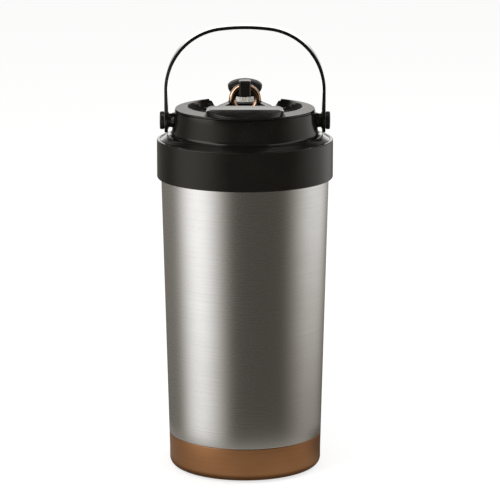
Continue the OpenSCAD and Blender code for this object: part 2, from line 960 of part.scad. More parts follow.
// Flat strap bent to an arch, with an eye at each end
module handle_strap() {
  outer = arch_path(strap_t / 2);
  inner = arch_path(-strap_t / 2);
  inner_back = [for (i = [len(inner) - 1 : -1 : 0]) inner[i]];
  color(black)
    difference() {
      union() {
        translate([0, strap_w / 2, 0])
          rotate([90, 0, 0])
            linear_extrude(strap_w)
              polygon(concat(outer, inner_back));
        bar_x(strap_x, strap_x + strap_t, 0, pivot_z, eye_r);
        bar_x(-strap_x - strap_t, -strap_x, 0, pivot_z, eye_r);
      }
      bar_x(strap_x - over, strap_x + strap_t + over, 0, pivot_z, stud_r + pin_gap);
      bar_x(-strap_x - strap_t - over, -strap_x + over, 0, pivot_z, stud_r + pin_gap);
    }
}

// Tongue-shaped flap over the spout, with a slanted front that overhangs the rim
module spout_flap() {
  slant_angle = atan2(flap_t - flap_land, flap_slant);
  end_x = nose_r + fit_gap;
  side_x = nose_r - fit_gap;
  color(black)
    difference() {
      intersection() {
        translate([0, 0, flap_z])
          linear_extrude(flap_t)
            union() {
              translate([0, -nose_front])
                circle(nose_r);
              translate([-side_x, -nose_front])
                square([2 * side_x, nose_front]);
            }
        rotate([90, 0, 0])
          linear_extrude(flap_reach + over)
            difference() {
              translate([-end_x, flap_z])
                square([2 * end_x, flap_t]);
              corner_cut(end_x, flap_top_z, flap_side_r, 1, 1);
              corner_cut(-end_x, flap_top_z, flap_side_r, -1, 1);
            }
        translate([-end_x, 0, 0])
          rotate([90, 0, 90])
            linear_extrude(2 * end_x)
              union() {
                translate([-flap_reach - over, flap_z])
                  square([flap_reach + over - hinge_front, flap_t]);
                translate([-hinge_front, pin_z])
                  circle(barrel_r);
              }
      }
      for (x = [barrel_len / 2, -barrel_len / 2 - post_slot_w])
        translate([x, -flap_rear, flap_z - over])
          cube([post_slot_w, flap_rear, flap_t + 2 * over]);
      translate([0, -flap_reach + flap_slant, flap_top_z])
        rotate([slant_angle, 0, 0])
          translate([-flap_w, -flap_w, 0])
            cube([2 * flap_w, flap_w, flap_w]);
      bar_x(-end_x, end_x, -hinge_front, pin_z, pin_r + pin_gap);
      at_pour()
        translate([0, 0, flap_z - over])
          cylinder(r = flap_seal_r + pin_gap, h = flap_seal_z + flap_seal_t - flap_z + over);
    }
}

// Seal under the flap
module flap_seal() {
  color(silicone)
    at_pour()
      translate([0, 0, flap_seal_z])
        cylinder(r = flap_seal_r, h = flap_seal_t);
}

// Knob that lifts the vent stem, flat in front where the ring hangs
module vent_knob() {
  outline = [
    for (i = [0 : knob_steps])
      let (
        a = knob_foot_a + (90 - knob_foot_a) * i / knob_steps,
        h = a > 0 ? knob_crown_h : knob_low_h
      )
      [knob_r * cos(a), knob_mid_z + h * sin(a)]
  ];
  color(black)
    difference() {
      rotate_extrude()
        polygon(concat([[0, knob_z]], outline));
      translate([-knob_r, -2 * knob_r, knob_z - over])
        cube([2 * knob_r, 2 * knob_r - knob_front, knob_h + 2 * over]);
      translate([-lug_w / 2 - fit_gap, -knob_r, lug_under_z - fit_gap])
        cube([lug_w + 2 * fit_gap, knob_r - knob_front + lug_tongue + fit_gap, knob_h]);
      translate([0, 0, knob_z - over])
        cylinder(r = stem_r + pin_gap, h = stem_grip + over);
    }
}

// Lug that holds the ring in front of the knob
module ring_lug() {
  color(black)
    intersection() {
      translate([lug_w / 2, 0, 0])
        rotate([0, -90, 0])
          linear_extrude(lug_w)
            polygon([
              [lug_top_z - lug_leg_h, -lug_front],
              [lug_top_z - lug_chamfer, -lug_front],
              [lug_top_z, -lug_front + lug_chamfer],
              [lug_top_z - lug_fall, -knob_front + lug_tongue],
              [lug_under_z, -knob_front + lug_tongue],
              [lug_under_z, -lug_back],
              [lug_top_z - lug_leg_h, -lug_back]
            ]);
      translate([0, 0, lug_top_z - lug_leg_h - over])
        linear_extrude(lug_leg_h + 2 * over)
          polygon([
            [-lug_w / 2 + lug_chamfer, -lug_front],
            [lug_w / 2 - lug_chamfer, -lug_front],
            [lug_w / 2, -lug_front + lug_chamfer],
            [lug_w / 2, 0],
            [-lug_w / 2, 0],
            [-lug_w / 2, -lug_front + lug_chamfer]
          ]);
    }
}

// Stem with the poppet that carries the seal
module vent_stem() {
  color(steel)
    union() {
      translate([0, 0, poppet_z])
        cylinder(r = poppet_r, h = poppet_t);
      translate([0, 0, poppet_z])
        cylinder(r = stem_r, h = knob_z + stem_grip - poppet_z);
    }
}

// Seal that closes the valve seat
module vent_seal() {
  color(silicone)
    translate([0, 0, vent_seal_z])
      cylinder(r = poppet_r, h = vent_seal_t);
}

// Spring that holds the poppet on its seat
module vent_spring() {
  sides = 6;
  steps = spring_turns * turn_steps;
  z0 = spring_z + wire_r;
  z1 = spring_top_z - wire_r;
  points = [
    for (i = [0 : steps], k = [0 : sides - 1])
      let (
        p = helix(spring_r, z0, z1, spring_turns, i / steps),
        turn = 360 * spring_turns * i / steps,
        a = 360 * k / sides
      )
      p + wire_r * [cos(a) * cos(turn), cos(a) * sin(turn), sin(a)]
  ];
  walls = [
    for (i = [0 : steps - 1], k = [0 : sides - 1])
      let (
        a = i * sides + k,
        b = i * sides + (k + 1) % sides
      )
      each [[a, b, b + sides], [a, b + sides, a + sides]]
  ];
  ends = [
    for (k = [1 : sides - 2])
      each [[0, k + 1, k], [steps * sides, steps * sides + k, steps * sides + k + 1]]
  ];
  echo(least_gap = (z1 - z0) / spring_turns - 2 * wire_r);
  color(steel)
    polyhedron(points, concat(walls, ends));
}

// Copper ring that hangs in the lug
module pull_ring() {
  color(copper)
    translate([0, -ring_front, ring_z])
      rotate([90, 0, 0])
        rotate_extrude()
          translate([ring_mid_r, 0])
            circle(ring_bar_r);
}

outer_shell();
inner_liner();
liner_floor();
shell_bottom();
vacuum_seal();
base_cup();
foot_pad();
lid_neck();
top_deck();
lid_plug();
insulation_puck();
lid_gasket();
plug_screws();
pour_tube();
vent_tube();
valve_body();
valve_gasket();
valve_base();
valve_washer();
fluted_collar();
flap_pin();
stud_left();
stud_right();
inner_washers();
outer_washers();
lock_collar();
handle_strap();
spout_flap();
flap_seal();
vent_knob();
ring_lug();
vent_stem();
vent_seal();
vent_spring();
pull_ring();
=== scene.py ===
"""Looks of an insulated steel growler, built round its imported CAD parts.

Lengths are in millimetres until a mesh is made. +Z is up, and the pour flap faces -Y.
"""
import json
import logging
import math
from dataclasses import dataclass, replace
from enum import Enum
from typing import Callable, Optional, Sequence

import bmesh
import bpy
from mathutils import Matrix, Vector


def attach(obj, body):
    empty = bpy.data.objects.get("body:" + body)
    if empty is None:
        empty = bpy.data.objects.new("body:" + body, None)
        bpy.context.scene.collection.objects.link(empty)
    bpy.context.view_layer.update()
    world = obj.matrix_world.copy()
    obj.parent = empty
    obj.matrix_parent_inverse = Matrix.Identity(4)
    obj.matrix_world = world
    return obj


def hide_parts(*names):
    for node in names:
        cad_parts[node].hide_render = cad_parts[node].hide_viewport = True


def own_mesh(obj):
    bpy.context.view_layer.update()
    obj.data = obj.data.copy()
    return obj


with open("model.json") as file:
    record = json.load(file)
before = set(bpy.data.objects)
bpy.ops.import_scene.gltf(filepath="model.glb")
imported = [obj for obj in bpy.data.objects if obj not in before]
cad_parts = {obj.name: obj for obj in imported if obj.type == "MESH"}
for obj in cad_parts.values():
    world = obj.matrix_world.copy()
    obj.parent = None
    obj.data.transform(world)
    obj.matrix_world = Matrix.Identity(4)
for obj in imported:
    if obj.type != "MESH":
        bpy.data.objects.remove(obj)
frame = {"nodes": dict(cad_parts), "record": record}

Flat = tuple[float, float]
Corner = tuple[float, float, float]
Point = tuple[float, float, float]
Ring = list[Point]

LOG = logging.getLogger("growler")
MM = 0.001
ROUND_STEPS = 160
SHARP_ANGLE = math.radians(38)
# Radius that stands for a point on an axis, so that a turned piece has no doubled points there.
POLE_R = 0.01
# Distance of the extra points that keep the shading of flat faces flat next to a rounded edge.
HOLD = 0.35
# Share of the shorter side that a rounding or its extra point may take up.
ROOM = 0.4
# Range that the sum of two noise patterns mostly keeps to.
NOISE_LOW, NOISE_HIGH = 0.6, 1.4


def linear(hex_code: str) -> tuple[float, float, float, float]:
    """Turn an sRGB hex colour into linear RGBA.

    Args:
        hex_code: Colour such as "#8a5c3c".

    Returns:
        Linear red, green and blue, and an alpha of 1.
    """
    channels = [int(hex_code[i:i + 2], 16) / 255 for i in (1, 3, 5)]
    low = [c / 12.92 if c <= 0.04045 else ((c + 0.055) / 1.055) ** 2.4 for c in channels]
    return (low[0], low[1], low[2], 1.0)


def add_node(tree: bpy.types.NodeTree, kind: str, links: Optional[dict] = None, **settings: object) -> bpy.types.Node:
    """Add one shader node with its settings and links.

    Args:
        tree: Node tree that gets the node.
        kind: Blender's name for the node type.
        links: Input names or numbers, each with a socket to link or a constant.
        settings: Attributes of the node itself.

    Returns:
        The new node.
    """
    node = tree.nodes.new(kind)
    for key, value in settings.items():
        setattr(node, key, value)
    for key, value in (links or {}).items():
        if isinstance(value, bpy.types.NodeSocket):
            tree.links.new(value, node.inputs[key])
        else:
            node.inputs[key].default_value = value
    return node


def smooth_min(a: float, b: float, soft: float) -> float:
    """Return the lower of two heights, rounded over where they meet within soft."""
    reach = max(soft - abs(a - b), 0.0) / soft
    return min(a, b) - reach * reach * soft / 4


def smooth_max(a: float, b: float, soft: float) -> float:
    """Return the higher of two heights, rounded over where they meet within soft."""
    return -smooth_min(-a, -b, soft)


def rounded(corners: Sequence[Corner], steps: int = 5, closed: bool = True) -> list[Flat]:
    """Round the corners of an outline.

    Args:
        corners: Places and roundings of the corners.
        steps: Straight steps in one rounding.
        closed: Whether the last corner joins the first.

    Returns:
        Points of the rounded outline, the same number for each rounded corner.
    """
    points: list[Flat] = []
    count = len(corners)
    for i, (x, y, radius) in enumerate(corners):
        if radius == 0 or (not closed and i in (0, count - 1)):
            points.append((x, y))
            continue
        here = Vector((x, y))
        back = Vector(corners[i - 1][:2]) - here
        ahead = Vector(corners[(i + 1) % count][:2]) - here
        half = back.angle(ahead, math.pi / 2) / 2
        room = ROOM * min(back.length, ahead.length)
        reach = max(min(radius / math.tan(half), room), 1e-5)
        arc_r = reach * math.tan(half)
        u, v = back.normalized(), ahead.normalized()
        middle = (u + v).normalized() * (arc_r / math.sin(half))
        start, end = u * reach - middle, v * reach - middle
        turn = start.angle_signed(end, 0.0)
        points.append(tuple(here + u * (reach + min(HOLD, ROOM * (back.length - reach)))))
        for k in range(steps + 1):
            a = -turn * k / steps
            spoke = Vector((
                start.x * math.cos(a) - start.y * math.sin(a),
                start.x * math.sin(a) + start.y * math.cos(a),
            ))
            points.append(tuple(here + middle + spoke))
        points.append(tuple(here + v * (reach + min(HOLD, ROOM * (ahead.length - reach)))))
    return points


def polar(r: float, a: float, z: float) -> Point:
    """Return the point at radius r, angle a and height z."""
    return (r * math.cos(a), r * math.sin(a), z)


def around(steps: int) -> list[float]:
    """Return evenly spaced angles of one turn."""
    return [2 * math.pi * k / steps for k in range(steps)]


def upright(x: float, y: float, z: float) -> Point:
    """Leave a turned point on the growler's own axis."""
    return (x, y, z)


class Shape:
    """Points and faces of one piece, gathered from lofts."""

    def __init__(self) -> None:
        """Start with no points."""
        self.points: list[Point] = []
        self.faces: list[tuple[int, ...]] = []

    def loft(self, rings: Sequence[Ring], looped: bool = False) -> "Shape":
        """Join closed rings of points with faces.

        Args:
            rings: Rings with the same number of points.
            looped: Whether the last ring joins the first; if not, both ends are capped.

        Returns:
            The shape itself.
        """
        start, size, count = len(self.points), len(rings[0]), len(rings)
        for ring in rings:
            self.points.extend(ring)
        for i in range(count if looped else count - 1):
            a, d = start + i * size, start + (i + 1) % count * size
            for j in range(size):
                k = (j + 1) % size
                self.faces.append((a + j, a + k, d + k, d + j))
        if not looped:
            last = start + (count - 1) * size
            self.faces.append(tuple(range(start + size - 1, start - 1, -1)))
            self.faces.append(tuple(range(last, last + size)))
        return self

    def lathe(
        self,
        profile: Sequence[Flat],
        looped: bool = True,
        place: Callable[[float, float, float], Point] = upright,
        steps: int = ROUND_STEPS,
    ) -> "Shape":
        """Turn a profile round an axis.

        Args:
            profile: Radius and height of each point.
            looped: Whether the profile closes on itself.
            place: Moves each point from the upright axis to the piece's own axis.
            steps: Points in one turn.

        Returns:
            The shape itself.
        """
        turns = around(steps)
        return self.loft([[place(*polar(r, a, z)) for a in turns] for r, z in profile], looped=looped)

    def arc_bar(self, corners: Sequence[Corner], middle: float, span: float, steps: int = 20) -> None:
        """Turn a section through part of a circle.

        Args:
            corners: Section in radius and height, with its roundings.
            middle: Middle of the arc, in degrees.
            span: Length of the arc, in degrees.
            steps: Sections along the arc.
        """
        section = rounded(corners, 3)
        turns = [math.radians(middle - span / 2 + span * k / steps) for k in range(steps + 1)]
        self.loft([[polar(r, a, z) for r, z in section] for a in turns])

    def slab_x(self, corners: Sequence[Corner], x0: float, x1: float, edge: float) -> None:
        """Stretch an outline along X and round its two ends.

        Args:
            corners: Outline in Y and Z, with its roundings.
            x0: Where the piece starts.
            x1: Where it ends.
            edge: Rounding of the ends.
        """
        outline = rounded(corners, 6)
        middle = Vector((sum(p[0] for p in outline) / len(outline), sum(p[1] for p in outline) / len(outline)))
        rings = []
        for end, sign in ((x0, 1), (x1, -1)):
            side = []
            for k in range(5):
                a = math.pi / 2 * k / 4
                side.append((end + sign * edge * (1 - math.sin(a)), edge * (1 - math.cos(a))))
            rings += list(reversed(side)) if sign > 0 else side
        layers = []
        for x, inset in rings:
            ring = []
            for p in outline:
                arm = Vector(p) - middle
                spot = middle + arm * max(1 - inset / max(arm.length, edge), 0.0)
                ring.append((x, spot.x, spot.y))
            layers.append(ring)
        self.loft(layers)

    def make(self, name: str) -> bpy.types.Object:
        """Make the mesh object.

        Args:
            name: Name of the piece.

        Returns:
            The object, in metres, smooth except at sharp edges.
        """
        mesh = bpy.data.meshes.new(name)
        mesh.from_pydata([tuple(c * MM for c in p) for p in self.points], [], self.faces)
        work = bmesh.new()
        work.from_mesh(mesh)
        bmesh.ops.recalc_face_normals(work, faces=work.faces)
        work.to_mesh(mesh)
        work.free()
        mesh.polygons.foreach_set("use_smooth", [True] * len(mesh.polygons))
        mesh.set_sharp_from_angle(angle=SHARP_ANGLE)
        piece = bpy.data.objects.new(name, mesh)
        bpy.context.scene.collection.objects.link(piece)
        return piece


def cut_away(piece: bpy.types.Object, cutter: Shape) -> None:
    """Cut a shape out of a piece.

    Args:
        piece: Piece that loses the shape.
        cutter: Shape that is cut out.
    """
    tool = cutter.make("cutter")
    cut = piece.modifiers.new("cut", "BOOLEAN")
    cut.operation, cut.solver, cut.object = "DIFFERENCE", "EXACT", tool
    bpy.context.view_layer.update()
    done = bpy.data.meshes.new_from_object(piece.evaluated_get(bpy.context.evaluated_depsgraph_get()))
    piece.modifiers.clear()
    done.set_sharp_from_angle(angle=SHARP_ANGLE)
    piece.data = done
    bpy.data.objects.remove(tool)


@dataclass(frozen=True)
class Ramp:
    """Value that goes from low to high between two places and stays level beyond them."""

    start: float
    end: float
    low: float = 0.0
    high: float = 1.0

    def over(self, value: bpy.types.NodeSocket) -> dict[str, object]:
        """Return the inputs of a Map Range node that reads a value."""
        return {"Value": value, "From Min": self.start, "From Max": self.end, "To Min": self.low, "To Max": self.high}


class Grain(Enum):
    """Direction of a finish's fine texture."""

    ROUND = "round the upright axis"
    EVEN = "alike in every direction"


@dataclass(frozen=True)
class Finish:
    """One real material with the surface that its making gave it."""

    name: str
    colour: str
    tint: str
    metallic: float
    roughness: float
    spread: float
    grain_mm: float
    relief_mm: float
    mottle_mm: float
    grain: Grain = Grain.EVEN
    streak_mm: float = 60.0
    anisotropy: float = 0.0
    ior: float = 1.5
    gloss_tint: str = "#ffffff"

    def material(self) -> bpy.types.Material:
        """Build the node material.

        Returns:
            Material whose colour, gloss and relief vary with the finish's real sizes.
        """
        made = bpy.data.materials.new(self.name)
        made.use_nodes = True
        tree = made.node_tree
        tree.nodes.clear()
        across = self.streak_mm if self.grain is Grain.ROUND else self.grain_mm
        scale = (1 / (across * MM), 1 / (across * MM), 1 / (self.grain_mm * MM))
        place = add_node(tree, "ShaderNodeTexCoord").outputs["Object"]
        fine = add_node(tree, "ShaderNodeMapping", {"Vector": place, "Scale": scale})
        grain = add_node(
            tree, "ShaderNodeTexNoise", {"Vector": fine.outputs[0], "Scale": 1.0, "Detail": 3.0, "Roughness": 0.6}
        ).outputs[0]
        cloud = add_node(
            tree, "ShaderNodeTexNoise", {"Vector": place, "Scale": 1 / (self.mottle_mm * MM), "Detail": 2.0}
        ).outputs[0]
        both = add_node(tree, "ShaderNodeMath", {0: grain, 1: cloud}, operation="ADD").outputs[0]
        share = add_node(tree, "ShaderNodeMapRange", Ramp(NOISE_LOW, NOISE_HIGH).over(both)).outputs[0]
        colour = add_node(
            tree, "ShaderNodeMix", {0: share, 6: linear(self.colour), 7: linear(self.tint)}, data_type="RGBA"
        ).outputs[2]
        dull = Ramp(NOISE_LOW, NOISE_HIGH, self.roughness - self.spread, self.roughness + self.spread)
        gloss = add_node(tree, "ShaderNodeMapRange", dull.over(both)).outputs[0]
        relief = add_node(
            tree, "ShaderNodeBump", {"Height": grain, "Strength": 1.0, "Distance": self.relief_mm * MM}
        ).outputs[0]
        surface = add_node(
            tree, "ShaderNodeBsdfPrincipled",
            {"Base Color": colour, "Metallic": self.metallic, "Roughness": gloss, "Normal": relief},
        )
        if self.metallic < 1:
            surface.inputs["IOR"].default_value = self.ior
            surface.inputs["Specular Tint"].default_value = linear(self.gloss_tint)
        if self.anisotropy:
            surface.inputs["Anisotropic"].default_value = self.anisotropy
            along = add_node(tree, "ShaderNodeTangent", direction_type="RADIAL", axis="Z")
            tree.links.new(along.outputs[0], surface.inputs["Tangent"])
        add_node(tree, "ShaderNodeOutputMaterial", {"Surface": surface.outputs[0]})
        return made


# Black ABS from a finely sparked mould: a satin skin with a soft broad sheen.
BLACK_ABS = Finish(
    "ABS moulded black satin", "#0e0d0c", "#13120f", 0.0, 0.17, 0.03, 0.6, 0.002, 14.0, ior=1.29, gloss_tint="#fffbec"
)

# Finishes by the record's material slots, and five more that dress single faces or nodes
FINISHES: dict[str, Finish] = {
    # Stainless sheet, belt-brushed while it turned: fine level lines that draw lights out into upright bands.
    # The real lines lie about 0.2 mm apart, too fine to show, so they are drawn at 0.7 mm.
    "shell_steel": Finish(
        "Stainless steel brushed round", "#cccbca", "#c2c1bf", 1.0, 0.27, 0.03, 0.7, 0.0007, 40.0,
        Grain.ROUND, 140.0, 0.55,
    ),
    # Stainless sheet, deep drawn and left satin: soft grey with faint draw lines.
    "inner_steel": Finish(
        "Stainless steel drawn satin", "#c8c7c4", "#b5b4b0", 1.0, 0.36, 0.05, 1.2, 0.004, 30.0, Grain.ROUND, 90.0, 0.3,
    ),
    # Stainless bar, turned: brighter, with close rings.
    "turned_steel": Finish(
        "Stainless steel turned", "#d6d4d0", "#c2c0bb", 1.0, 0.22, 0.05, 0.4, 0.003, 8.0, Grain.ROUND, 20.0, 0.3,
    ),
    # Turned steel washers, phosphated: a grey metal with a soft edge.
    "grey_steel": Finish(
        "Steel turned and phosphated", "#5a5956", "#4a4946", 1.0, 0.38, 0.05, 0.4, 0.003, 8.0, Grain.ROUND, 20.0,
    ),
    # Copper plate on brushed steel, lacquered: a warm brown satin without sharp lights.
    "copper_cup": Finish(
        "Copper plate brushed satin", "#bf8c63", "#b17e56", 1.0, 0.34, 0.04, 0.9, 0.004, 35.0, Grain.ROUND, 70.0, 0.4,
    ),
    # Copper-plated round bar, polished: small sharp lights in deep brown.
    "copper_ring": Finish(
        "Copper plate polished", "#b3957d", "#9a7b63", 1.0, 0.06, 0.02, 0.8, 0.0005, 6.0,
    ),
    "black_plastic": BLACK_ABS,
    # The same ABS where the mould was polished: its level tops turn pale where light skims them.
    "black_polished": replace(
        BLACK_ABS, name="ABS moulded black polished", roughness=0.19, grain_mm=0.5, relief_mm=0.0015, ior=1.52,
    ),
    # The same ABS with a fine sand grain, on the knob: a dull grey where light skims it.
    "black_matt": replace(
        BLACK_ABS, name="ABS moulded black matt", colour="#0c0b0a", tint="#11100e", roughness=0.5, spread=0.05,
        relief_mm=0.012, ior=1.25,
    ),
    # A darker ABS copy with a coarse spark grain and a low IOR: painted shade, nearly lightless, in the deck's recess
    # and on the valve's top.
    "black_painted_shade": replace(
        BLACK_ABS, name="ABS moulded black with painted shade", colour="#080706", tint="#0c0b0a", roughness=0.55, spread=0.05,
        grain_mm=0.7, relief_mm=0.012, ior=1.12,
    ),
    # The same ABS where the mould was lapped to a gloss: it mirrors sharply, so it stays deep black.
    "black_gloss": replace(BLACK_ABS, name="ABS moulded black gloss", roughness=0.06, spread=0.02, relief_mm=0.0004),
    # Steel strap, powder coated black: a shade deeper than the plastic, with a very slight orange peel.
    "black_strap": Finish(
        "Steel powder coated black", "#080807", "#0d0c0b", 0.0, 0.15, 0.03, 0.9, 0.0004, 18.0,
    ),
    # Natural polypropylene, moulded: milky white with a waxy gloss.
    "white_plastic": Finish(
        "Polypropylene moulded natural", "#eceae4", "#e3e0d8", 0.0, 0.42, 0.05, 0.8, 0.006, 20.0,
    ),
    # Polyurethane foam, poured: pale and dull with open cells.
    "foam": Finish("Polyurethane foam poured", "#ded6c2", "#cfc5ad", 0.0, 0.85, 0.08, 1.1, 0.12, 12.0),
    # Silicone, moulded translucent: pale grey with a soft skin.
    "silicone": Finish(
        "Silicone moulded translucent", "#d2d1ca", "#c6c5bd", 0.0, 0.48, 0.06, 0.9, 0.01, 10.0, ior=1.41,
    ),
    # Black rubber, moulded: dull and slightly dusty.
    "black_rubber": Finish("Rubber moulded black", "#1f1f1e", "#2a2928", 0.0, 0.68, 0.08, 0.7, 0.02, 9.0),
}


class Workshop:
    """Dresses pieces and seats them on the bodies that carry them."""

    def __init__(self, finishes: dict[str, Finish]) -> None:
        """Make every material once.

        Args:
            finishes: Finish for each material slot of the record.
        """
        self.materials = {slot: finish.material() for slot, finish in finishes.items()}
        self.replaced: set[str] = set()
        self.own = {"inner_washers": "grey_steel", "outer_washers": "grey_steel"}

    def seat(self, shape: Shape, name: str, body: str, node: str, slot: str) -> bpy.types.Object:
        """Turn a shape into a dressed piece that stands for a CAD node.

        Args:
            shape: Points and faces of the piece.
            name: Name of the piece.
            body: Body that it moves with.
            node: CAD node that it stands for.
            slot: Material slot of its finish.

        Returns:
            The seated piece.
        """
        piece = shape.make(name)
        piece.data.materials.append(self.materials[slot])
        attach(piece, body)
        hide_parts(node)
        self.replaced.add(node)
        LOG.info("%s stands for %s on %s, %d faces", name, node, body, len(piece.data.polygons))
        return piece

    def dress_faces(
        self, piece: bpy.types.Object, finish: str, chosen: Callable[[bpy.types.MeshPolygon], bool]
    ) -> None:
        """Give some faces of a piece another finish.

        Args:
            piece: Piece that has its main finish.
            finish: Name of the other finish.
            chosen: Test for the faces that get it.
        """
        piece.data.materials.append(self.materials[finish])
        for face in piece.data.polygons:
            if chosen(face):
                face.material_index = len(piece.data.materials) - 1

    def dress_rest(self) -> None:
        """Give the CAD nodes that stay their materials."""
        for part in frame["record"]["subparts"]:
            node = part["node"]
            if node in self.replaced:
                continue
            mesh = frame["nodes"][node].data
            mesh.materials.clear()
            slot = self.own.get(node, part["material_slot"])
            mesh.materials.append(self.materials[slot])
            LOG.info("%s keeps its CAD mesh as %s", node, slot)


@dataclass
class Vessel:
    """Double-walled steel body with its copper cup."""

    low_r: float = 57.0
    top_r: float = 62.0
    cup_z: float = 25.9
    body_z: float = 222.0
    shoulder_z: float = 227.0
    neck_r: float = 57.2
    lip_z: float = 242.4
    lip_top_z: float = 243.4
    wall: float = 0.8
    vacuum: float = 3.6
    neck_vacuum: float = 2.0
    shell_z: float = 9.6
    shell_in: float = 1.05
    seam: float = 0.1
    liner_z: float = 14.4
    liner_round: float = 10.0
    cup_low_z: float = 1.0
    cup_wall: float = 1.0
    cup_round: float = 8.5
    cup_ease: float = 4.0
    lug_z: float = 234.3
    lug_h: float = 3.4
    lug_reach: float = 2.3
    lug_span: float = 34.0

    def radius(self, z: float) -> float:
        """Return the outer radius of the body at height z."""
        return self.low_r + (self.top_r - self.low_r) * (z - self.cup_z) / (self.body_z - self.cup_z)

    def shell(self) -> Shape:
        """Return the outer wall with its neck and locking lugs."""
        shape = Shape()
        step_z = self.cup_z + self.seam
        inner_z = step_z + self.wall
        low_r = self.radius(self.shell_z) - self.shell_in
        shape.lathe(rounded([
            (low_r, self.shell_z, 0),
            (self.radius(step_z) - self.shell_in, step_z, 0),
            (self.radius(step_z), step_z, 0.3),
            (self.top_r, self.body_z, 1.5),
            (self.neck_r, self.shoulder_z, 1.2),
            (self.neck_r, self.lip_z, 0),
            (self.neck_r - self.wall, self.lip_z, 0),
            (self.neck_r - self.wall, self.shoulder_z, 0),
            (self.top_r - self.wall, self.body_z, 0),
            (self.radius(inner_z) - self.wall, inner_z, 0),
            (self.radius(inner_z) - self.shell_in - self.wall, inner_z, 0),
            (low_r - self.wall, self.shell_z, 0),
        ]))
        r0, r1 = self.neck_r - self.wall / 2, self.neck_r + self.lug_reach
        z0, z1 = self.lug_z, self.lug_z + self.lug_h
        for k in range(4):
            shape.arc_bar([(r0, z0, 0), (r1, z0, 0.6), (r1, z1, 0.6), (r0, z1, 0)], 90 * k, self.lug_span)
        return shape

    def liner(self) -> Shape:
        """Return the inner wall with its rolled lip."""
        bend_z = self.liner_z + self.liner_round
        gap = self.wall + self.vacuum
        out_r = self.neck_r - self.wall - self.neck_vacuum
        return Shape().lathe(rounded([
            (self.radius(bend_z) - gap, bend_z, 0),
            (self.top_r - gap, self.body_z, 2.0),
            (out_r, self.shoulder_z, 2.0),
            (out_r, self.lip_z, 0),
            (self.neck_r, self.lip_z, 0.3),
            (self.neck_r, self.lip_top_z, 0.45),
            (out_r - self.wall, self.lip_top_z, 0.45),
            (out_r - self.wall, self.shoulder_z, 2.0),
            (self.top_r - gap - self.wall, self.body_z, 2.0),
            (self.radius(bend_z) - gap - self.wall, bend_z, 0),
        ]))

    def cup(self) -> Shape:
        """Return the copper cup round the foot."""
        bend_z = self.cup_low_z + self.cup_round
        low_r, top_r = self.radius(bend_z), self.radius(self.cup_z)
        wall_z = bend_z + self.cup_ease
        return Shape().lathe(rounded([
            (POLE_R, self.cup_low_z, 0),
            (low_r, self.cup_low_z, self.cup_round),
            (self.radius(wall_z), wall_z, 0),
            (top_r, self.cup_z, 0.35),
            (top_r - self.cup_wall, self.cup_z, 0.2),
            (self.radius(wall_z) - self.cup_wall, wall_z, 0),
            (low_r - self.cup_wall, self.cup_low_z + self.cup_wall, self.cup_round - self.cup_wall),
            (POLE_R, self.cup_low_z + self.cup_wall, 0),
        ], 10, closed=False), looped=False)

    def build(self, shop: Workshop) -> None:
        """Seat the vessel's pieces.

        Args:
            shop: Workshop that dresses them.
        """
        shop.seat(self.shell(), "body_shell", "vessel", "outer_shell", "shell_steel")
        shop.seat(self.liner(), "body_liner", "vessel", "inner_liner", "inner_steel")
        shop.seat(self.cup(), "copper_foot_cup", "vessel", "base_cup", "copper_cup")


@dataclass
class Collar:
    """Black ring that locks the lid to the neck."""

    out_r: float = 65.0
    low_z: float = 219.5
    low_r: float = 62.4
    bead_z: float = 248.2
    bead_w: float = 2.0
    groove: float = 0.6
    lip_z: float = 248.3
    lip_top_z: float = 251.4
    lip_r: float = 57.4
    bore_r: float = 59.9
    bore_z: float = 226.7
    flare_z: float = 222.3
    lug_r: float = 57.6
    lug_root: float = 0.4
    lug_z: float = 230.5
    lug_h: float = 3.4
    lug_span: float = 34.0

    def build(self, shop: Workshop) -> None:
        """Seat the collar.

        Args:
            shop: Workshop that dresses it.
        """
        shape = Shape()
        bead_r = self.out_r - self.bead_w
        groove_r = bead_r - self.groove
        shape.lathe(rounded([
            (self.low_r, self.low_z, 0.4),
            (self.out_r, self.low_z, 1.2),
            (self.out_r, self.bead_z, 1.7),
            (bead_r, self.bead_z, 0.2),
            (bead_r, self.bead_z - self.groove, 0),
            (groove_r, self.bead_z - self.groove, 0),
            (groove_r, self.bead_z, 0.2),
            (self.lip_r, self.lip_top_z, 0.6),
            (self.lip_r, self.lip_z, 0),
            (self.bore_r, self.lip_z, 0),
            (self.bore_r, self.bore_z, 0.4),
            (self.low_r, self.flare_z, 0.4),
        ]))
        z0, z1 = self.lug_z, self.lug_z + self.lug_h
        r1 = self.bore_r + self.lug_root
        for k in range(4):
            shape.arc_bar(
                [(self.lug_r, z0, 0.6), (r1, z0, 0), (r1, z1, 0), (self.lug_r, z1, 0.6)], 45 + 90 * k, self.lug_span
            )
        shop.seat(shape, "locking_collar", "collar", "lock_collar", "black_plastic")


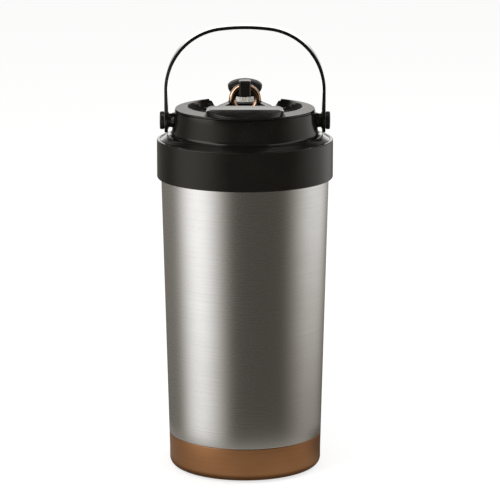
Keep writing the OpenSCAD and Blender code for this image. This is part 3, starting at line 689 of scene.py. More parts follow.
@dataclass
class Lid:
    """Black neck and deck with the pour tube."""

    web_z: float = 245.5
    flange_z: float = 248.0
    flange_r: float = 59.6
    foot_r: float = 57.0
    cove_z: float = 251.3
    cove_r: float = 3.2
    low_r: float = 53.8
    top_r: float = 51.8
    top_z: float = 269.3
    wall: float = 2.6
    wall_z: tuple[float, ...] = (258.0, 262.0, 263.2)
    bore_z: float = 262.0
    rim_round: float = 0.5
    rim_z: float = 271.0
    edge_h: float = 1.4
    edge_r: float = 0.9
    deck_r: float = 49.1
    deck_under_z: float = 261.7
    floor_z: float = 264.7
    recess_r: float = 42.7
    recess_back: float = 9.6
    recess_draft: float = 3.2
    notch_low: float = 23.5
    notch_slope: float = 1.8
    notch_step: float = 0.8
    notch_gap: float = 0.15
    soft: float = 1.0
    pivot_z: float = 261.7
    boss_x: float = 56.2
    boss_r: float = 5.2
    boss_root_r: float = 6.8
    boss_flare: float = 5.2
    pour_y: float = -41.0
    pour_bore_r: float = 5.2
    pour_r: float = 6.4
    pour_flange_r: float = 7.2
    pour_flange_h: float = 1.5
    pour_gap: float = 0.1
    pour_z: float = 222.0
    hinge_y: float = -24.0
    pin_z: float = 273.7
    post_r: float = 2.8
    post_x: float = 15.9
    post_w: float = 3.4
    valve_hole_r: float = 5.1
    # Distances from the foot and the brow of the recess's wall at which the deck is measured
    foot_spots: tuple[float, ...] = (-4.0, -1.5, -0.9, -0.45, -0.1, 0.3)
    brow_spots: tuple[float, ...] = (-0.5, -0.2, 0.05, 0.3, 0.6, 1.0, 1.5)

    def angles(self) -> list[float]:
        """Return the angles of one turn, closer together at the sides of the rear notch."""
        turns = [math.radians(a) for a in range(360)]
        for side in (61.0, 119.0):
            turns += [math.radians(side - 6 + 0.25 * k) for k in range(49) if k % 4]
        return sorted(turns)

    def notch(self, x: float, y: float, floor: float, inset: float = 0.0) -> float:
        """Return the height that the rear notch leaves at a place.

        Args:
            x: Place across the lid.
            y: Place along the lid.
            floor: Height of the notch's floor.
            inset: How far the notch's sides stand back.

        Returns:
            The height, or a large one in front of the notch.
        """
        if y < self.recess_back:
            return 2 * self.rim_z
        side = self.floor_z + (abs(x) - self.notch_low - inset) * self.notch_slope
        return smooth_max(side, floor, self.soft)

    def neck(self) -> Shape:
        """Return the neck with its flange, notch and ear bosses."""
        shape = Shape()
        round_r = self.rim_round
        foot = rounded([
            (POLE_R, self.web_z, 0),
            (self.flange_r, self.web_z, 0.2),
            (self.flange_r, self.flange_z, 0.2),
            (self.foot_r, self.flange_z, 0),
            (self.foot_r, self.cove_z, 0),
        ], closed=False)
        for k in range(1, 11):
            a = math.pi / 2 * k / 10
            foot.append((
                self.foot_r - self.cove_r * math.sin(a), self.cove_z + self.cove_r * (1 - math.cos(a))
            ))
        cove_top = self.cove_z + self.cove_r
        slope = (self.top_r - self.low_r) / (self.top_z - cove_top)
        foot += [(self.low_r + slope * (z - cove_top), z) for z in (cove_top + 0.5, *self.wall_z)]
        turns = self.angles()
        rings = [[polar(r, a, z) for a in turns] for r, z in foot]
        in_r = self.top_r - self.wall
        drops = [(1 - math.sin(math.pi / 2 * k / 5), 1 - math.cos(math.pi / 2 * k / 5)) for k in range(6)]
        for side in (1, -1):
            for fall, inset in (drops if side > 0 else reversed(drops)):
                ring = []
                for a in turns:
                    top = min(self.top_z, self.notch(*polar(self.top_r, a, self.floor_z)))
                    z = top - round_r * fall
                    out_r = self.low_r + slope * (z - cove_top)
                    ring.append(polar(out_r - round_r * inset if side > 0 else in_r + round_r * inset, a, z))
                rings.append(ring)
        for r, z in ((in_r, self.bore_z), (in_r, self.flange_z), (POLE_R, self.flange_z)):
            rings.append([polar(r, a, z) for a in turns])
        shape.loft(rings)
        for side in (1, -1):
            profile = rounded([
                (POLE_R, 0, 0),
                (self.boss_root_r, 0, 0),
                (self.boss_r, self.boss_flare, 2.0),
                (self.boss_r, self.boss_x - in_r, 0.3),
                (POLE_R, self.boss_x - in_r, 0),
            ], closed=False)
            shape.lathe(
                profile, looped=False, steps=64,
                place=lambda x, y, z, s=side: (s * (in_r + z), x, self.pivot_z + y),
            )
        return shape

    def edge(self, angle: float, radius: float) -> float:
        """Return how far from the axis a circle of the recess lies at an angle."""
        across = self.recess_back * math.cos(angle)
        return self.recess_back * math.sin(angle) + math.sqrt(radius ** 2 - across ** 2)

    def stations(self, angle: float) -> list[float]:
        """Return the radii at which the deck's surface is measured, closer together at its edges.

        Args:
            angle: Direction from the axis.

        Returns:
            The radii, the same number at every angle.
        """
        low, high = self.edge(angle, self.recess_r - self.recess_draft), self.edge(angle, self.recess_r)
        limit = self.top_r - self.edge_r - 0.1
        spots = [10.0, 22.0] + [low + d for d in self.foot_spots]
        spots += [low + (high - low) * share for share in (0.35, 0.65)]
        spots += [high + d for d in self.brow_spots]
        start = min(high + self.brow_spots[-1], self.deck_r - 0.7)
        spots += [start + (self.deck_r - 0.2 - start) * k / 7 for k in range(1, 7)]
        spots += [self.deck_r - 0.01, self.deck_r + 0.1, self.deck_r + 0.9, limit]
        spots = sorted(min(r, limit + 0.001 * i) for i, r in enumerate(spots))
        return [POLE_R] + spots + [
            self.top_r - self.edge_r * (1 - math.sin(math.pi / 2 * k / 6)) for k in range(7)
        ]

    def surface(self, angle: float, r: float) -> float:
        """Return the height of the deck's top.

        Args:
            angle: Direction from the axis.
            r: Distance from the axis.

        Returns:
            The height.
        """
        low, high = self.edge(angle, self.recess_r - self.recess_draft), self.edge(angle, self.recess_r)
        wall = self.floor_z + (r - low) / (high - low) * (self.rim_z - self.floor_z)
        z = smooth_max(self.floor_z, smooth_min(self.rim_z, wall, self.soft), self.soft)
        turn = r - (self.top_r - self.edge_r)
        if turn > 0:
            z = min(z, self.rim_z - self.edge_r + math.sqrt(max(self.edge_r ** 2 - turn ** 2, 0.0)))
        step, gap = (self.notch_step, self.notch_gap) if r > self.deck_r else (0.0, 0.0)
        return smooth_min(z, self.notch(*polar(r, angle, self.floor_z - step), gap), 0.7 * self.soft)

    def deck(self) -> Shape:
        """Return the deck with its recess, rear notch and hinge posts."""
        shape = Shape()
        rows = []
        for a in self.angles():
            row = [(r, self.surface(a, r)) for r in self.stations(a)]
            skirt = min(self.rim_z - self.edge_h, row[-1][1] - 0.1)
            row += [
                (self.top_r, skirt), (self.deck_r, skirt), (self.deck_r, self.deck_under_z), (POLE_R, self.deck_under_z)
            ]
            rows.append([polar(r, a, z) for r, z in row])
        shape.loft([[row[k] for row in rows] for k in range(len(rows[0]))])
        for x in (self.post_x, -self.post_x - self.post_w):
            low = self.floor_z - 1
            top = self.pin_z + self.post_r
            shape.slab_x([
                (self.hinge_y - self.post_r, low, 0),
                (self.hinge_y + self.post_r, low, 0),
                (self.hinge_y + self.post_r, top, self.post_r * 0.95),
                (self.hinge_y - self.post_r, top, self.post_r * 0.95),
            ], x, x + self.post_w, 0.4)
        return shape

    def tube(self) -> Shape:
        """Return the pour tube with its flange."""
        return Shape().lathe(rounded([
            (self.pour_bore_r, self.pour_z, 0.3),
            (self.pour_r, self.pour_z, 0.3),
            (self.pour_r, self.rim_z - self.pour_flange_h, 0),
            (self.pour_flange_r, self.rim_z - self.pour_flange_h, 0),
            (self.pour_flange_r, self.rim_z, 0.3),
            (self.pour_bore_r, self.rim_z, 0.6),
        ]), place=lambda x, y, z: (x, y + self.pour_y, z), steps=64)

    def build(self, shop: Workshop) -> None:
        """Seat the lid's pieces.

        Args:
            shop: Workshop that dresses them.
        """
        shop.seat(self.neck(), "neck_of_lid", "lid", "lid_neck", "black_plastic")
        deck = shop.seat(self.deck(), "deck_of_lid", "lid", "top_deck", "black_plastic")
        hole_r, valve_r, past = self.pour_flange_r + self.pour_gap, self.valve_hole_r, 2.0
        cutter = Shape().lathe(
            [(hole_r, self.deck_under_z - past), (hole_r, self.rim_z + past)], looped=False, steps=64,
            place=lambda x, y, z: (x, y + self.pour_y, z),
        )
        cutter.lathe(
            [(valve_r, self.deck_under_z - past), (valve_r, self.floor_z + past)], looped=False, steps=48,
        )
        cut_away(deck, cutter)
        wall_r, wall_top = (self.recess_r + self.recess_draft + self.soft) * MM, (self.rim_z - self.soft / 2) * MM
        # Painted shade: the recess's floor and walls get the darker copy of the ABS.
        shop.dress_faces(
            deck, "black_painted_shade",
            lambda face: math.hypot(face.center.x, face.center.y) < wall_r and face.center.z < wall_top,
        )
        shop.seat(self.tube(), "pour_spout", "lid", "pour_tube", "black_plastic")


@dataclass
class Handle:
    """Flat strap bail with its two studs."""

    pivot_z: float = 261.7
    mid_x: float = 58.0
    thick: float = 2.4
    width: float = 16.0
    eye_r: float = 9.2
    eye_share: float = 0.66
    rise: float = 69.5
    corner_r: float = 45.5
    top_r: float = 144.0
    edge: float = 0.3
    straight: float = 14.0
    straight_step: float = 3.4
    stud_x: float = 59.8
    stud_r: float = 3.0
    stud_root: float = 8.6
    head_r: float = 6.7
    head_h: float = 2.9
    head_edge: float = 1.0

    def path(self) -> list[tuple[float, float, float, float]]:
        """Return X, Z, the direction of the strap's outer side and its half width, from right to left."""
        corner_x = self.mid_x - self.corner_r
        swing = math.acos(corner_x / (self.top_r - self.corner_r))
        top_z = self.pivot_z + self.rise - self.top_r
        corner_z = top_z + (self.top_r - self.corner_r) * math.sin(swing)
        half = self.width / 2
        rows = []
        for k in range(25):
            a = math.pi * (1 - self.eye_share * k / 24)
            rise = self.eye_r * math.cos(a)
            span = math.sqrt(max(self.eye_r ** 2 - rise ** 2, 0.0009))
            rows.append((self.mid_x, self.pivot_z + rise, 0.0, max(span, half) if rise > 0 else span))
        rows += [(self.mid_x, corner_z - self.straight + self.straight_step * k, 0.0, half) for k in range(4)]
        for k in range(33):
            a = swing * k / 32
            rows.append((corner_x + self.corner_r * math.cos(a), corner_z + self.corner_r * math.sin(a), a, half))
        for k in range(1, 9):
            a = swing + (math.pi / 2 - swing) * k / 8
            rows.append((self.top_r * math.cos(a), top_z + self.top_r * math.sin(a), a, half))
        return rows + [(-x, z, math.pi - a, w) for x, z, a, w in reversed(rows[:-1])]

    def strap(self) -> Shape:
        """Return the arched strap with its eyes."""
        t, edge = self.thick / 2, self.edge
        rings = []
        for x, z, a, half in self.path():
            section = rounded([(t, -half, edge), (t, half, edge), (-t, half, edge), (-t, -half, edge)], 4)
            rings.append([(x + u * math.cos(a), v, z + u * math.sin(a)) for u, v in section])
        return Shape().loft(rings)

    def stud(self, side: int) -> Shape:
        """Return one stud.

        Args:
            side: 1 for the right, -1 for the left.

        Returns:
            Shank and rounded head.
        """
        profile = rounded([
            (POLE_R, -self.stud_root, 0),
            (self.stud_r, -self.stud_root, 0),
            (self.stud_r, 0, 0),
            (self.head_r, 0, 0.2),
            (self.head_r, self.head_h, self.head_edge),
            (POLE_R, self.head_h, 0),
        ], 6, closed=False)
        return Shape().lathe(
            profile, looped=False, steps=72,
            place=lambda x, y, z: (side * (self.stud_x + z), x, self.pivot_z + y),
        )

    def build(self, shop: Workshop) -> None:
        """Seat the handle's pieces.

        Args:
            shop: Workshop that dresses them.
        """
        shop.seat(self.strap(), "bail_strap", "handle", "handle_strap", "black_strap")
        for side, hand in ((-1, "left"), (1, "right")):
            shop.seat(self.stud(side), f"bail_stud_{hand}", "lid", f"stud_{hand}", "black_plastic")


@dataclass
class Flap:
    """Hinged tongue over the spout."""

    low_z: float = 271.4
    top_z: float = 276.0
    reach: float = 60.5
    half_w: float = 28.5
    side_r: float = 3.4
    side_w: float = 5.0
    corner_r: float = 6.5
    slant: float = 19.5
    land: float = 1.4
    edge: float = 0.4
    bend_r: float = 1.5
    nose_r: float = 0.6
    hinge_y: float = -24.0
    barrel_r: float = 2.3
    slot_y: float = -27.4
    slot_x: float = 15.8
    slot_w: float = 3.6
    pin_hole_r: float = 1.05
    pour_y: float = -41.0
    seal_hole_r: float = 6.95
    seal_hole_h: float = 1.4

    def section(self, x: float, in_slot: bool) -> list[Flat]:
        """Return the flap's outline in Y and Z.

        Args:
            x: Place across the flap.
            in_slot: Whether a hinge post stands behind it there.

        Returns:
            The rounded outline.
        """
        front = self.half_w - self.reach - math.sqrt(max(self.half_w ** 2 - x ** 2, 0.0))
        past = max(abs(x) - (self.half_w + 0.1 - self.side_w), 0.0) / self.side_w
        top = self.top_z - self.side_r + self.side_r * math.sqrt(1 - past ** 2)
        slope = (self.top_z - self.low_z - self.land) / self.slant
        bend = max(self.slant - self.reach - (self.top_z - top) / slope, front + 0.1)
        nose = min(top - 0.02, self.low_z + self.land + slope * (front + self.reach))
        turned = max(abs(x) - (self.half_w - self.corner_r), 0.0)
        rear = self.hinge_y + self.barrel_r - self.corner_r + math.sqrt(self.corner_r ** 2 - turned ** 2)
        rear, round_r = (self.slot_y, self.edge) if in_slot else (rear, self.barrel_r)
        return rounded([
            (front, self.low_z, self.edge),
            (rear, self.low_z, round_r),
            (rear, top, round_r),
            # A level point here keeps the top's faces flat in front of the slots and the rear corners.
            (min(self.slot_y - 0.6, rear - 3), top, 0),
            (bend, top, self.bend_r),
            (front, nose, self.nose_r),
        ], 6)

    def tongue(self) -> Shape:
        """Return the tongue with the slots for its hinge posts."""
        half, step = self.half_w, 0.01
        places = [(half * math.sin(math.pi / 2 * k / 40), None) for k in range(-40, 41)]
        for side in (1, -1):
            near, far = side * self.slot_x, side * (self.slot_x + self.slot_w)
            places += [(near - side * step, False), (near, True), (far, True), (far + side * step, False)]
        rings = []
        for x, known in sorted(places, key=lambda place: place[0]):
            in_slot = known if known is not None else 0 < abs(x) - self.slot_x < self.slot_w
            rings.append([(x, y, z) for y, z in self.section(x, in_slot)])
        return Shape().loft(rings)

    def build(self, shop: Workshop) -> None:
        """Seat the flap.

        Args:
            shop: Workshop that dresses it.
        """
        flap = shop.seat(self.tongue(), "pour_flap", "flap", "spout_flap", "black_plastic")
        past, pin_z = 1.0, (self.low_z + self.top_z) / 2
        end_x = self.half_w + past
        cutter = Shape().lathe(
            [(self.pin_hole_r, -end_x), (self.pin_hole_r, end_x)], looped=False, steps=32,
            place=lambda x, y, z: (z, self.hinge_y + x, pin_z + y),
        )
        cutter.lathe(
            [(self.seal_hole_r, self.low_z - past), (self.seal_hole_r, self.low_z + self.seal_hole_h)],
            looped=False, steps=64, place=lambda x, y, z: (x, self.pour_y + y, z),
        )
        cut_away(flap, cutter)
        ear_x, ear_y = (self.slot_x + self.slot_w / 2) * MM, (self.slot_y - 0.3) * MM
        # The top is polished except on the ears behind it; the slant, which leans to the front, is glossy.
        lean = -0.1
        shop.dress_faces(
            flap, "black_polished",
            lambda face: face.normal.z > 0.3 and face.normal.y > lean
            and (abs(face.center.x) < ear_x or face.center.y < ear_y),
        )
        shop.dress_faces(flap, "black_gloss", lambda face: face.normal.z > 0.9 and face.normal.y < lean)


@dataclass
class VentValve:
    """Ring-pull vent on the deck."""

    floor_z: float = 264.7
    base_r: float = 20.4
    base_wall_z: float = 272.3
    base_top_r: float = 12.5
    base_top_z: float = 275.6
    base_flat: float = 9.8
    base_edge: float = 0.8
    base_soft: float = 0.6
    flute_z: float = 276.2
    flute_top_z: float = 279.6
    flute_r: float = 7.2
    flute_count: int = 18
    flute_cut: float = 0.9
    flute_depth: float = 0.5
    flute_edge: float = 0.25
    knob_r: float = 12.7
    knob_z: float = 279.9
    knob_mid_z: float = 287.5
    knob_top_z: float = 292.7
    knob_foot_r: float = 7.0
    knob_flat: float = 10.0
    lug_half: float = 4.3
    lug_back: float = 16.2
    lug_front: float = 18.4
    lug_low_z: float = 281.7
    lug_under_z: float = 291.2
    lug_top_z: float = 293.4
    lug_fall: float = 0.9
    lug_chamfer: float = 1.2
    lug_tongue_y: float = -3.2
    ring_y: float = -13.0
    ring_z: float = 279.0
    ring_r: float = 9.3
    ring_bar: float = 2.6
    coil_r: float = 2.55
    coil_z: float = 261.3
    coil_top_z: float = 278.0
    coil_turns: int = 7
    wire_r: float = 0.28
    lift: float = 3.5

    def base(self) -> Shape:
        """Return the sloped base with its two flats."""
        edge = self.base_edge
        profile = rounded([
            (POLE_R, self.floor_z, 0),
            (self.base_r, self.floor_z, 0),
            (self.base_r, self.base_wall_z, 1.6),
            (self.base_top_r, self.base_top_z, 1.2),
            (POLE_R, self.base_top_z, 0),
        ], 6, closed=False)
        rings = []
        for r, z in profile:
            rise = max(z - (self.base_top_z - edge), 0.0)
            flat = self.base_flat - edge + math.sqrt(max(edge ** 2 - rise ** 2, 0.0))
            ring = []
            for a in around(240):
                reach = smooth_min(r, flat / max(abs(math.sin(a)), 1e-6), self.base_soft)
                ring.append(polar(min(reach, r), a, z))
            rings.append(ring)
        return Shape().loft(rings)

    def flutes(self) -> Shape:
        """Return the fluted clamp collar."""
        middle = self.flute_r + self.flute_cut - self.flute_depth
        pitch = 2 * math.pi / self.flute_count
        profile = rounded([
            (POLE_R, self.flute_z, 0),
            (0.0, self.flute_z, self.flute_edge),
            (0.0, self.flute_top_z, self.flute_edge),
            (POLE_R - self.flute_r, self.flute_top_z, 0),
        ], 3, closed=False)
        rings = []
        for k, (inset, z) in enumerate(profile):
            ring = []
            for a in around(self.flute_count * 16):
                off = (a + pitch / 2) % pitch - pitch / 2
                side = middle * math.sin(off)
                reach = self.flute_r
                if abs(side) < self.flute_cut:
                    reach = min(reach, middle * math.cos(off) - math.sqrt(self.flute_cut ** 2 - side ** 2))
                ring.append(polar(max(reach + inset, POLE_R) if k else POLE_R, a, z))
            rings.append(ring)
        return Shape().loft(rings)

    def knob(self) -> Shape:
        """Return the bun-shaped knob with its front flat."""
        low_h = (self.knob_mid_z - self.knob_z) / math.sqrt(1 - (self.knob_foot_r / self.knob_r) ** 2)
        foot = -math.acos(self.knob_foot_r / self.knob_r)
        profile = [(POLE_R, self.knob_z), (self.knob_foot_r - 0.5, self.knob_z)]
        for k in range(41):
            a = foot + (math.pi / 2 - foot) * k / 40
            h = self.knob_top_z - self.knob_mid_z if a > 0 else low_h
            profile.append((max(self.knob_r * math.cos(a), POLE_R), self.knob_mid_z + h * math.sin(a)))
        rings = []
        for r, z in profile:
            ring = []
            for a in around(180):
                front = -math.sin(a)
                reach = smooth_min(r, self.knob_flat / front, 1.0) if front > 0.05 else r
                ring.append(polar(min(reach, r), a, z))
            rings.append(ring)
        return Shape().loft(rings)

    def lug(self) -> Shape:
        """Return the hooked lug that the ring hangs in."""
        outline = rounded([
            (-self.lug_front, self.lug_low_z, 0.5),
            (-self.lug_back, self.lug_low_z, 0.4),
            (-self.lug_back, self.lug_under_z, 0.5),
            (self.lug_tongue_y, self.lug_under_z, 0.2),
            (self.lug_tongue_y, self.lug_top_z - self.lug_fall, 0.2),
            (-self.lug_front + self.lug_chamfer, self.lug_top_z, 0.3),
            (-self.lug_front, self.lug_top_z - self.lug_chamfer, 0.3),
        ], 4)
        # Share of the chamfer that is cut from the width and from the depth, along its slightly rounded face
        face = [(0.0, 1.06), (0.04, 0.94), (0.13, 0.84), (0.84, 0.13), (0.94, 0.04), (1.06, 0.0)]
        layers = []
        for side, steps in ((-1, face), (1, list(reversed(face)))):
            for across, inward in steps:
                x = side * (self.lug_half - self.lug_chamfer * across)
                layers.append([(x, *self.inset(p, self.lug_chamfer * inward)) for p in outline])
        return Shape().loft(layers)

    def inset(self, place: Flat, depth: float) -> Flat:
        """Draw a point of the lug's outline in: the front by the whole depth, other faces by a small edge.

        Args:
            place: Y and Z of the point.
            depth: How far the front moves.

        Returns:
            The moved point.
        """
        y, z = place
        edge = min(depth, 0.25)
        if z < self.lug_under_z - 0.6:
            y = min(y, -self.lug_back - edge)
        else:
            y = min(y, self.lug_tongue_y - edge)
            top = self.lug_top_z - self.lug_fall * (y + self.lug_front) / (self.lug_tongue_y + self.lug_front)
            z = min(max(z, self.lug_under_z + edge) if y > -self.lug_back + 0.6 else z, top - edge)
        return (max(y, -self.lug_front + depth), max(z, self.lug_low_z + edge))

    def ring(self) -> Shape:
        """Return the round copper ring."""
        bar = [(self.ring_r + self.ring_bar * math.cos(a), self.ring_bar * math.sin(a)) for a in around(40)]
        return Shape().lathe(bar, place=lambda x, y, z: (x, self.ring_y + z, self.ring_z + y), steps=120)

    def coil(self) -> Shape:
        """Return the round-wire spring on the stem."""
        steps = self.coil_turns * 36
        low, high = self.coil_z + self.wire_r, self.coil_top_z - self.wire_r
        rings = []
        for k in range(steps + 1):
            turn, z = 2 * math.pi * self.coil_turns * k / steps, low + (high - low) * k / steps
            rings.append([
                polar(self.coil_r + self.wire_r * math.cos(a), turn, z + self.wire_r * math.sin(a)) for a in around(12)
            ])
        return Shape().loft(rings)

    def build(self, shop: Workshop) -> None:
        """Seat the valve's pieces.

        Args:
            shop: Workshop that dresses them.
        """
        base = shop.seat(self.base(), "vent_base", "lid", "valve_base", "black_plastic")
        # Painted shade: the base's level top gets the darker copy of the ABS.
        shop.dress_faces(base, "black_painted_shade", lambda face: face.normal.z >= 0.97)
        flutes = shop.seat(self.flutes(), "vent_flutes", "lid", "fluted_collar", "white_plastic")
        knob = shop.seat(self.knob(), "vent_lift_knob", "vent", "vent_knob", "black_plastic")
        shop.dress_faces(knob, "black_matt", lambda face: True)
        lug = shop.seat(self.lug(), "vent_ring_lug", "vent", "ring_lug", "black_plastic")
        ring = shop.seat(self.ring(), "vent_pull_ring", "ring", "pull_ring", "copper_ring")
        coil = shop.seat(self.coil(), "vent_coil", "lid", "vent_spring", "turned_steel")
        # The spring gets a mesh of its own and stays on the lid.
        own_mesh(coil)
        # The flap's top mirrors the backdrop alone, so these stay out of mirror images.
        hidden = ("vent_stem", "vent_seal", "valve_body", "valve_gasket", "valve_washer")
        for piece in (flutes, knob, lug, ring, coil, *(frame["nodes"][node] for node in hidden)):
            piece.visible_glossy = False


@dataclass(frozen=True)
class Panel:
    """Lit panel of the tent.

    Its middle is in degrees from the front, positive to the right. It is fully lit within the half angle near and
    dark beyond far. Its strength goes from low at the floor to high at the collar's height and above.
    """

    middle: float
    near: float
    far: float
    low: float
    high: float


@dataclass
class Studio:
    """Camera, floor, lamps and the light tent that the metal mirrors, in metres."""

    eye: Point = (0.0037, -2.025, 0.5906)
    pitch: float = 11.9
    lens: float = 200.2
    floor_half: float = 8.0
    floor_z: float = -0.0002
    paper_glow: float = 0.68
    surround: Ramp = Ramp(0.0, 1.0, 0.66, 1.0)
    aim: Point = (0.0, 0.0, 0.15)
    tent_r: float = 0.153
    tent_low_z: float = 0.0004
    tent_z: float = 0.42
    tent_floor: float = 0.45
    tent_shade: float = 0.1
    ground_z: float = 0.001
    panel_low_z: float = 0.02
    panel_high_z: float = 0.22
    body_panels: tuple[Panel, ...] = (
        Panel(-56, 1, 45, 1.25, 1.7), Panel(94, 8, 52, 0.32, 1.12), Panel(-116, 16, 30, 0.1, 0.15),
    )
    lid_panels: tuple[Panel, ...] = (Panel(-66, 9, 30, 4.5, 4.5), Panel(85, 4, 26, 1.8, 1.8))
    lid_rise: Ramp = Ramp(0.276, 0.302)
    sky: Ramp = Ramp(0.4, 0.46, 0.02, 0.4)
    back_turn: Ramp = Ramp(math.radians(128), math.radians(142))
    back_low: Ramp = Ramp(0.27, 0.296, 2.4, 0.0)
    back_high: Ramp = Ramp(0.308, 0.33, 0.8, 2.7)
    back_start: Ramp = Ramp(0.248, 0.262)
    back_end: Ramp = Ramp(0.37, 0.378, 1.0, 0.0)
    floor_left: Ramp = Ramp(math.radians(-80), math.radians(-35), 0.72)
    floor_right: Ramp = Ramp(math.radians(76), math.radians(106), 1.0, 0.25)
    floor_outer: Ramp = Ramp(0.134, 0.142)
    foot_shadow: Ramp = Ramp(0.056, 0.072, 0.25)

    def camera(self) -> None:
        """Place the camera at the photograph's viewpoint."""
        data = bpy.data.cameras.new("camera")
        data.lens, data.sensor_width, data.clip_end = self.lens, 36.0, 50.0
        camera = bpy.data.objects.new("camera", data)
        camera.location = self.eye
        camera.rotation_euler = (math.radians(90 - self.pitch), 0.0, 0.0)
        bpy.context.scene.collection.objects.link(camera)
        bpy.context.scene.camera = camera

    def seen(self, tree: bpy.types.NodeTree) -> bpy.types.NodeSocket:
        """Return a socket that is 1 for camera, glossy and transmission rays.

        Args:
            tree: Node tree of the floor or the world.

        Returns:
            The socket.
        """
        path = add_node(tree, "ShaderNodeLightPath").outputs
        seen = path["Is Camera Ray"]
        for kind in ("Is Glossy Ray", "Is Transmission Ray"):
            seen = add_node(tree, "ShaderNodeMath", {0: seen, 1: path[kind]}, operation="MAXIMUM").outputs[0]
        return seen

    def floor(self) -> None:
        """Lay the white floor, which keeps the growler's shadow."""
        h, z = self.floor_half, self.floor_z
        mesh = bpy.data.meshes.new("floor")
        mesh.from_pydata([(-h, -h, z), (h, -h, z), (h, h, z), (-h, h, z)], [], [(0, 1, 2, 3)])
        floor = bpy.data.objects.new("floor", mesh)
        bpy.context.scene.collection.objects.link(floor)
        paper = bpy.data.materials.new("White seamless paper")
        paper.use_nodes = True
        tree = paper.node_tree
        tree.nodes.clear()
        seen = self.seen(tree)
        grey = add_node(
            tree, "ShaderNodeMix", {0: seen, 6: linear("#f6f6f5"), 7: linear("#a9a9a8")}, data_type="RGBA"
        ).outputs[2]
        glow = add_node(tree, "ShaderNodeMath", {0: seen, 1: self.paper_glow}, operation="MULTIPLY").outputs[0]
        surface = add_node(
            tree, "ShaderNodeBsdfPrincipled",
            {
                "Base Color": grey, "Roughness": 0.9, "Specular IOR Level": 0.0,
                "Emission Color": (1.0, 1.0, 1.0, 1.0), "Emission Strength": glow,
            },
        )
        add_node(tree, "ShaderNodeOutputMaterial", {"Surface": surface.outputs[0]})
        mesh.materials.append(paper)

    def lamp(self, name: str, place: Point, size: float, power: float) -> None:
        """Hang one soft square lamp that points at the growler.

        Args:
            name: Name of the lamp.
            place: Where it hangs, in metres.
            size: Side of its face.
            power: Its power in watts.
        """
        data = bpy.data.lights.new(name, "AREA")
        data.size, data.energy = size, power
        lamp = bpy.data.objects.new(name, data)
        lamp.location = place
        lamp.rotation_euler = (Vector(self.aim) - Vector(place)).to_track_quat("-Z", "Y").to_euler()
        lamp.visible_glossy = False
        bpy.context.scene.collection.objects.link(lamp)

    def world(self) -> None:
        """Make a white surround that lights the growler at a plain level."""
        world = bpy.data.worlds.new("white surround")
        bpy.context.scene.world = world
        world.use_nodes = True
        tree = world.node_tree
        tree.nodes.clear()
        level = add_node(tree, "ShaderNodeMapRange", self.surround.over(self.seen(tree))).outputs[0]
        white = add_node(tree, "ShaderNodeBackground", {"Color": (1.0, 1.0, 1.0, 1.0), "Strength": level})
        add_node(tree, "ShaderNodeOutputWorld", {"Surface": white.outputs[0]})

    def panels(
        self, tree: bpy.types.NodeTree, turn: bpy.types.NodeSocket, height: bpy.types.NodeSocket,
        panels: Sequence[Panel], shade: float | bpy.types.NodeSocket,
    ) -> bpy.types.NodeSocket:
        """Add up the light of some panels.

        Args:
            tree: Node tree of the tent's cloth.
            turn: Direction from the front.
            height: Height over the floor.
            panels: The panels.
            shade: Strength between the panels.

        Returns:
            Socket with the strength.
        """
        for panel in panels:
            off = add_node(tree, "ShaderNodeMath", {0: turn, 1: math.radians(panel.middle)}, operation="SUBTRACT")
            off = add_node(tree, "ShaderNodeMath", {0: off.outputs[0]}, operation="ABSOLUTE")
            edge = Ramp(math.radians(panel.far), math.radians(panel.near)).over(off.outputs[0])
            lit = add_node(tree, "ShaderNodeMapRange", edge, interpolation_type="SMOOTHSTEP").outputs[0]
            rise = Ramp(self.panel_low_z, self.panel_high_z, panel.low, panel.high).over(height)
            strength = add_node(tree, "ShaderNodeMapRange", rise).outputs[0]
            light = {0: lit, 1: strength, 2: shade}
            shade = add_node(tree, "ShaderNodeMath", light, operation="MULTIPLY_ADD").outputs[0]
        return shade

    def dimmed(
        self, tree: bpy.types.NodeTree, light: float | bpy.types.NodeSocket,
        limits: Sequence[tuple[Ramp, bpy.types.NodeSocket]],
    ) -> bpy.types.NodeSocket:
        """Dim a light by some ramps.

        Args:
            tree: Node tree of the tent's cloth.
            light: Strength of the light.
            limits: Ramps, each with the value that it reads.

        Returns:
            Socket with the strength that is left.
        """
        for ramp, value in limits:
            share = add_node(tree, "ShaderNodeMapRange", ramp.over(value)).outputs[0]
            light = add_node(tree, "ShaderNodeMath", {0: light, 1: share}, operation="MULTIPLY").outputs[0]
        return light

    def tent(self) -> None:
        """Stand a light tent round the growler that only its reflections show.

        The tent is dark towards the camera and has a bright panel on the left and a fainter one on the right,
        so the steel shows two upright bands. Behind the lid it has a lit backdrop, which the level tops mirror.
        """
        r, low, top = self.tent_r / MM, self.tent_low_z / MM, self.tent_z / MM
        bends = [math.pi / 2 * k / 8 for k in range(1, 8)]
        profile = [(POLE_R, low), (r, low), (r, top)]
        profile += [(r * math.cos(a), top + r * math.sin(a)) for a in bends]
        profile.append((POLE_R, top + r))
        tent = Shape().lathe(profile, looped=False, steps=96).make("light_tent")
        for hidden in ("visible_camera", "visible_diffuse", "visible_shadow", "visible_transmission"):
            setattr(tent, hidden, False)
        cloth = bpy.data.materials.new("Light tent cloth")
        cloth.use_nodes = True
        tree = cloth.node_tree
        tree.nodes.clear()
        place = add_node(tree, "ShaderNodeTexCoord").outputs["Object"]
        x, y, height = add_node(tree, "ShaderNodeSeparateXYZ", {0: place}).outputs
        front = add_node(tree, "ShaderNodeMath", {0: y, 1: -1.0}, operation="MULTIPLY").outputs[0]
        turn = add_node(tree, "ShaderNodeMath", {0: x, 1: front}, operation="ARCTAN2").outputs[0]
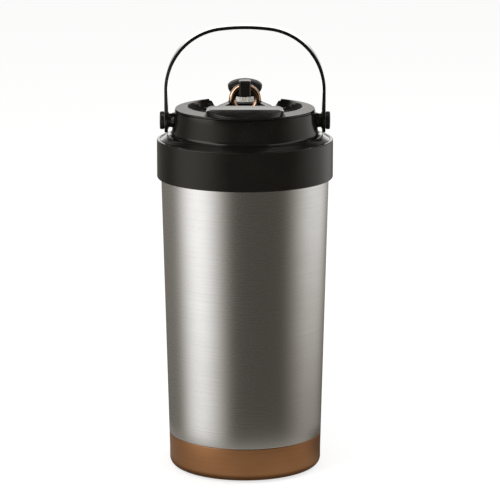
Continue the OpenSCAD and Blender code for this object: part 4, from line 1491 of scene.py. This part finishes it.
        # Round the body the panels are broad; beside the lid they are narrow and bright.
        body = self.panels(tree, turn, height, self.body_panels, self.tent_shade)
        sky = add_node(tree, "ShaderNodeMapRange", self.sky.over(height)).outputs[0]
        lid = self.panels(tree, turn, height, self.lid_panels, sky)
        rise = add_node(tree, "ShaderNodeMapRange", self.lid_rise.over(height)).outputs[0]
        total = add_node(tree, "ShaderNodeMix", {0: rise, 2: body, 3: lid}, data_type="FLOAT").outputs[0]
        # The backdrop is brighter above the deck and ends below the part that the flap's slant mirrors.
        dim = add_node(tree, "ShaderNodeMapRange", self.back_low.over(height)).outputs[0]
        bright = add_node(tree, "ShaderNodeMapRange", self.back_high.over(height)).outputs[0]
        bright = add_node(tree, "ShaderNodeMath", {0: dim, 1: bright}, operation="MAXIMUM").outputs[0]
        away = add_node(tree, "ShaderNodeMath", {0: turn}, operation="ABSOLUTE").outputs[0]
        limits = [(self.back_start, height), (self.back_end, height), (self.back_turn, away)]
        backdrop = self.dimmed(tree, bright, limits)
        total = add_node(tree, "ShaderNodeMath", {0: total, 1: backdrop}, operation="MAXIMUM").outputs[0]
        # The floor is dimmer at both sides, most on the right, where the copper cup's edge goes dark. Close to the
        # foot it lies in shadow, which gives that edge its dark line.
        reach = add_node(tree, "ShaderNodeVectorMath", {0: place}, operation="LENGTH").outputs["Value"]
        limits = [(self.floor_left, turn), (self.floor_right, turn), (self.foot_shadow, reach)]
        floor = self.dimmed(tree, self.tent_floor, limits)
        # The steel mirrors only the floor's outer part, which carries the panels on.
        outer = add_node(tree, "ShaderNodeMapRange", self.floor_outer.over(reach)).outputs[0]
        floor = add_node(tree, "ShaderNodeMix", {0: outer, 2: floor, 3: body}, data_type="FLOAT").outputs[0]
        ground = add_node(tree, "ShaderNodeMath", {0: height, 1: self.ground_z}, operation="LESS_THAN").outputs[0]
        total = add_node(tree, "ShaderNodeMix", {0: ground, 2: total, 3: floor}, data_type="FLOAT").outputs[0]
        # Its shade is a little warm, its panels are white.
        colour = add_node(
            tree, "ShaderNodeMix", {0: total, 6: linear("#fff4e2"), 7: linear("#fffefc")}, data_type="RGBA"
        ).outputs[2]
        glow = add_node(tree, "ShaderNodeEmission", {"Color": colour, "Strength": total})
        add_node(tree, "ShaderNodeOutputMaterial", {"Surface": glow.outputs[0]})
        tent.data.materials.append(cloth)

    def build(self) -> None:
        """Set up the whole studio."""
        bpy.context.scene.view_settings.view_transform = "Standard"
        self.camera()
        self.floor()
        self.world()
        self.tent()
        self.lamp("key lamp", (-1.3, -1.1, 1.5), 1.0, 18.0)
        self.lamp("fill lamp", (1.4, 0.5, 1.3), 1.0, 10.0)
        self.lamp("front lamp", (0.0, -1.3, 0.3), 0.6, 8.0)


def main() -> None:
    """Build the growler's pieces and the studio."""
    logging.basicConfig(level=logging.INFO, format="%(name)s: %(message)s")
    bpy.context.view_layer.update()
    Studio().build()
    shop = Workshop(FINISHES)
    for assembly in (Vessel(), Collar(), Lid(), Handle(), Flap(), VentValve()):
        assembly.build(shop)
    shop.dress_rest()


if __name__ == "__main__":
    main()
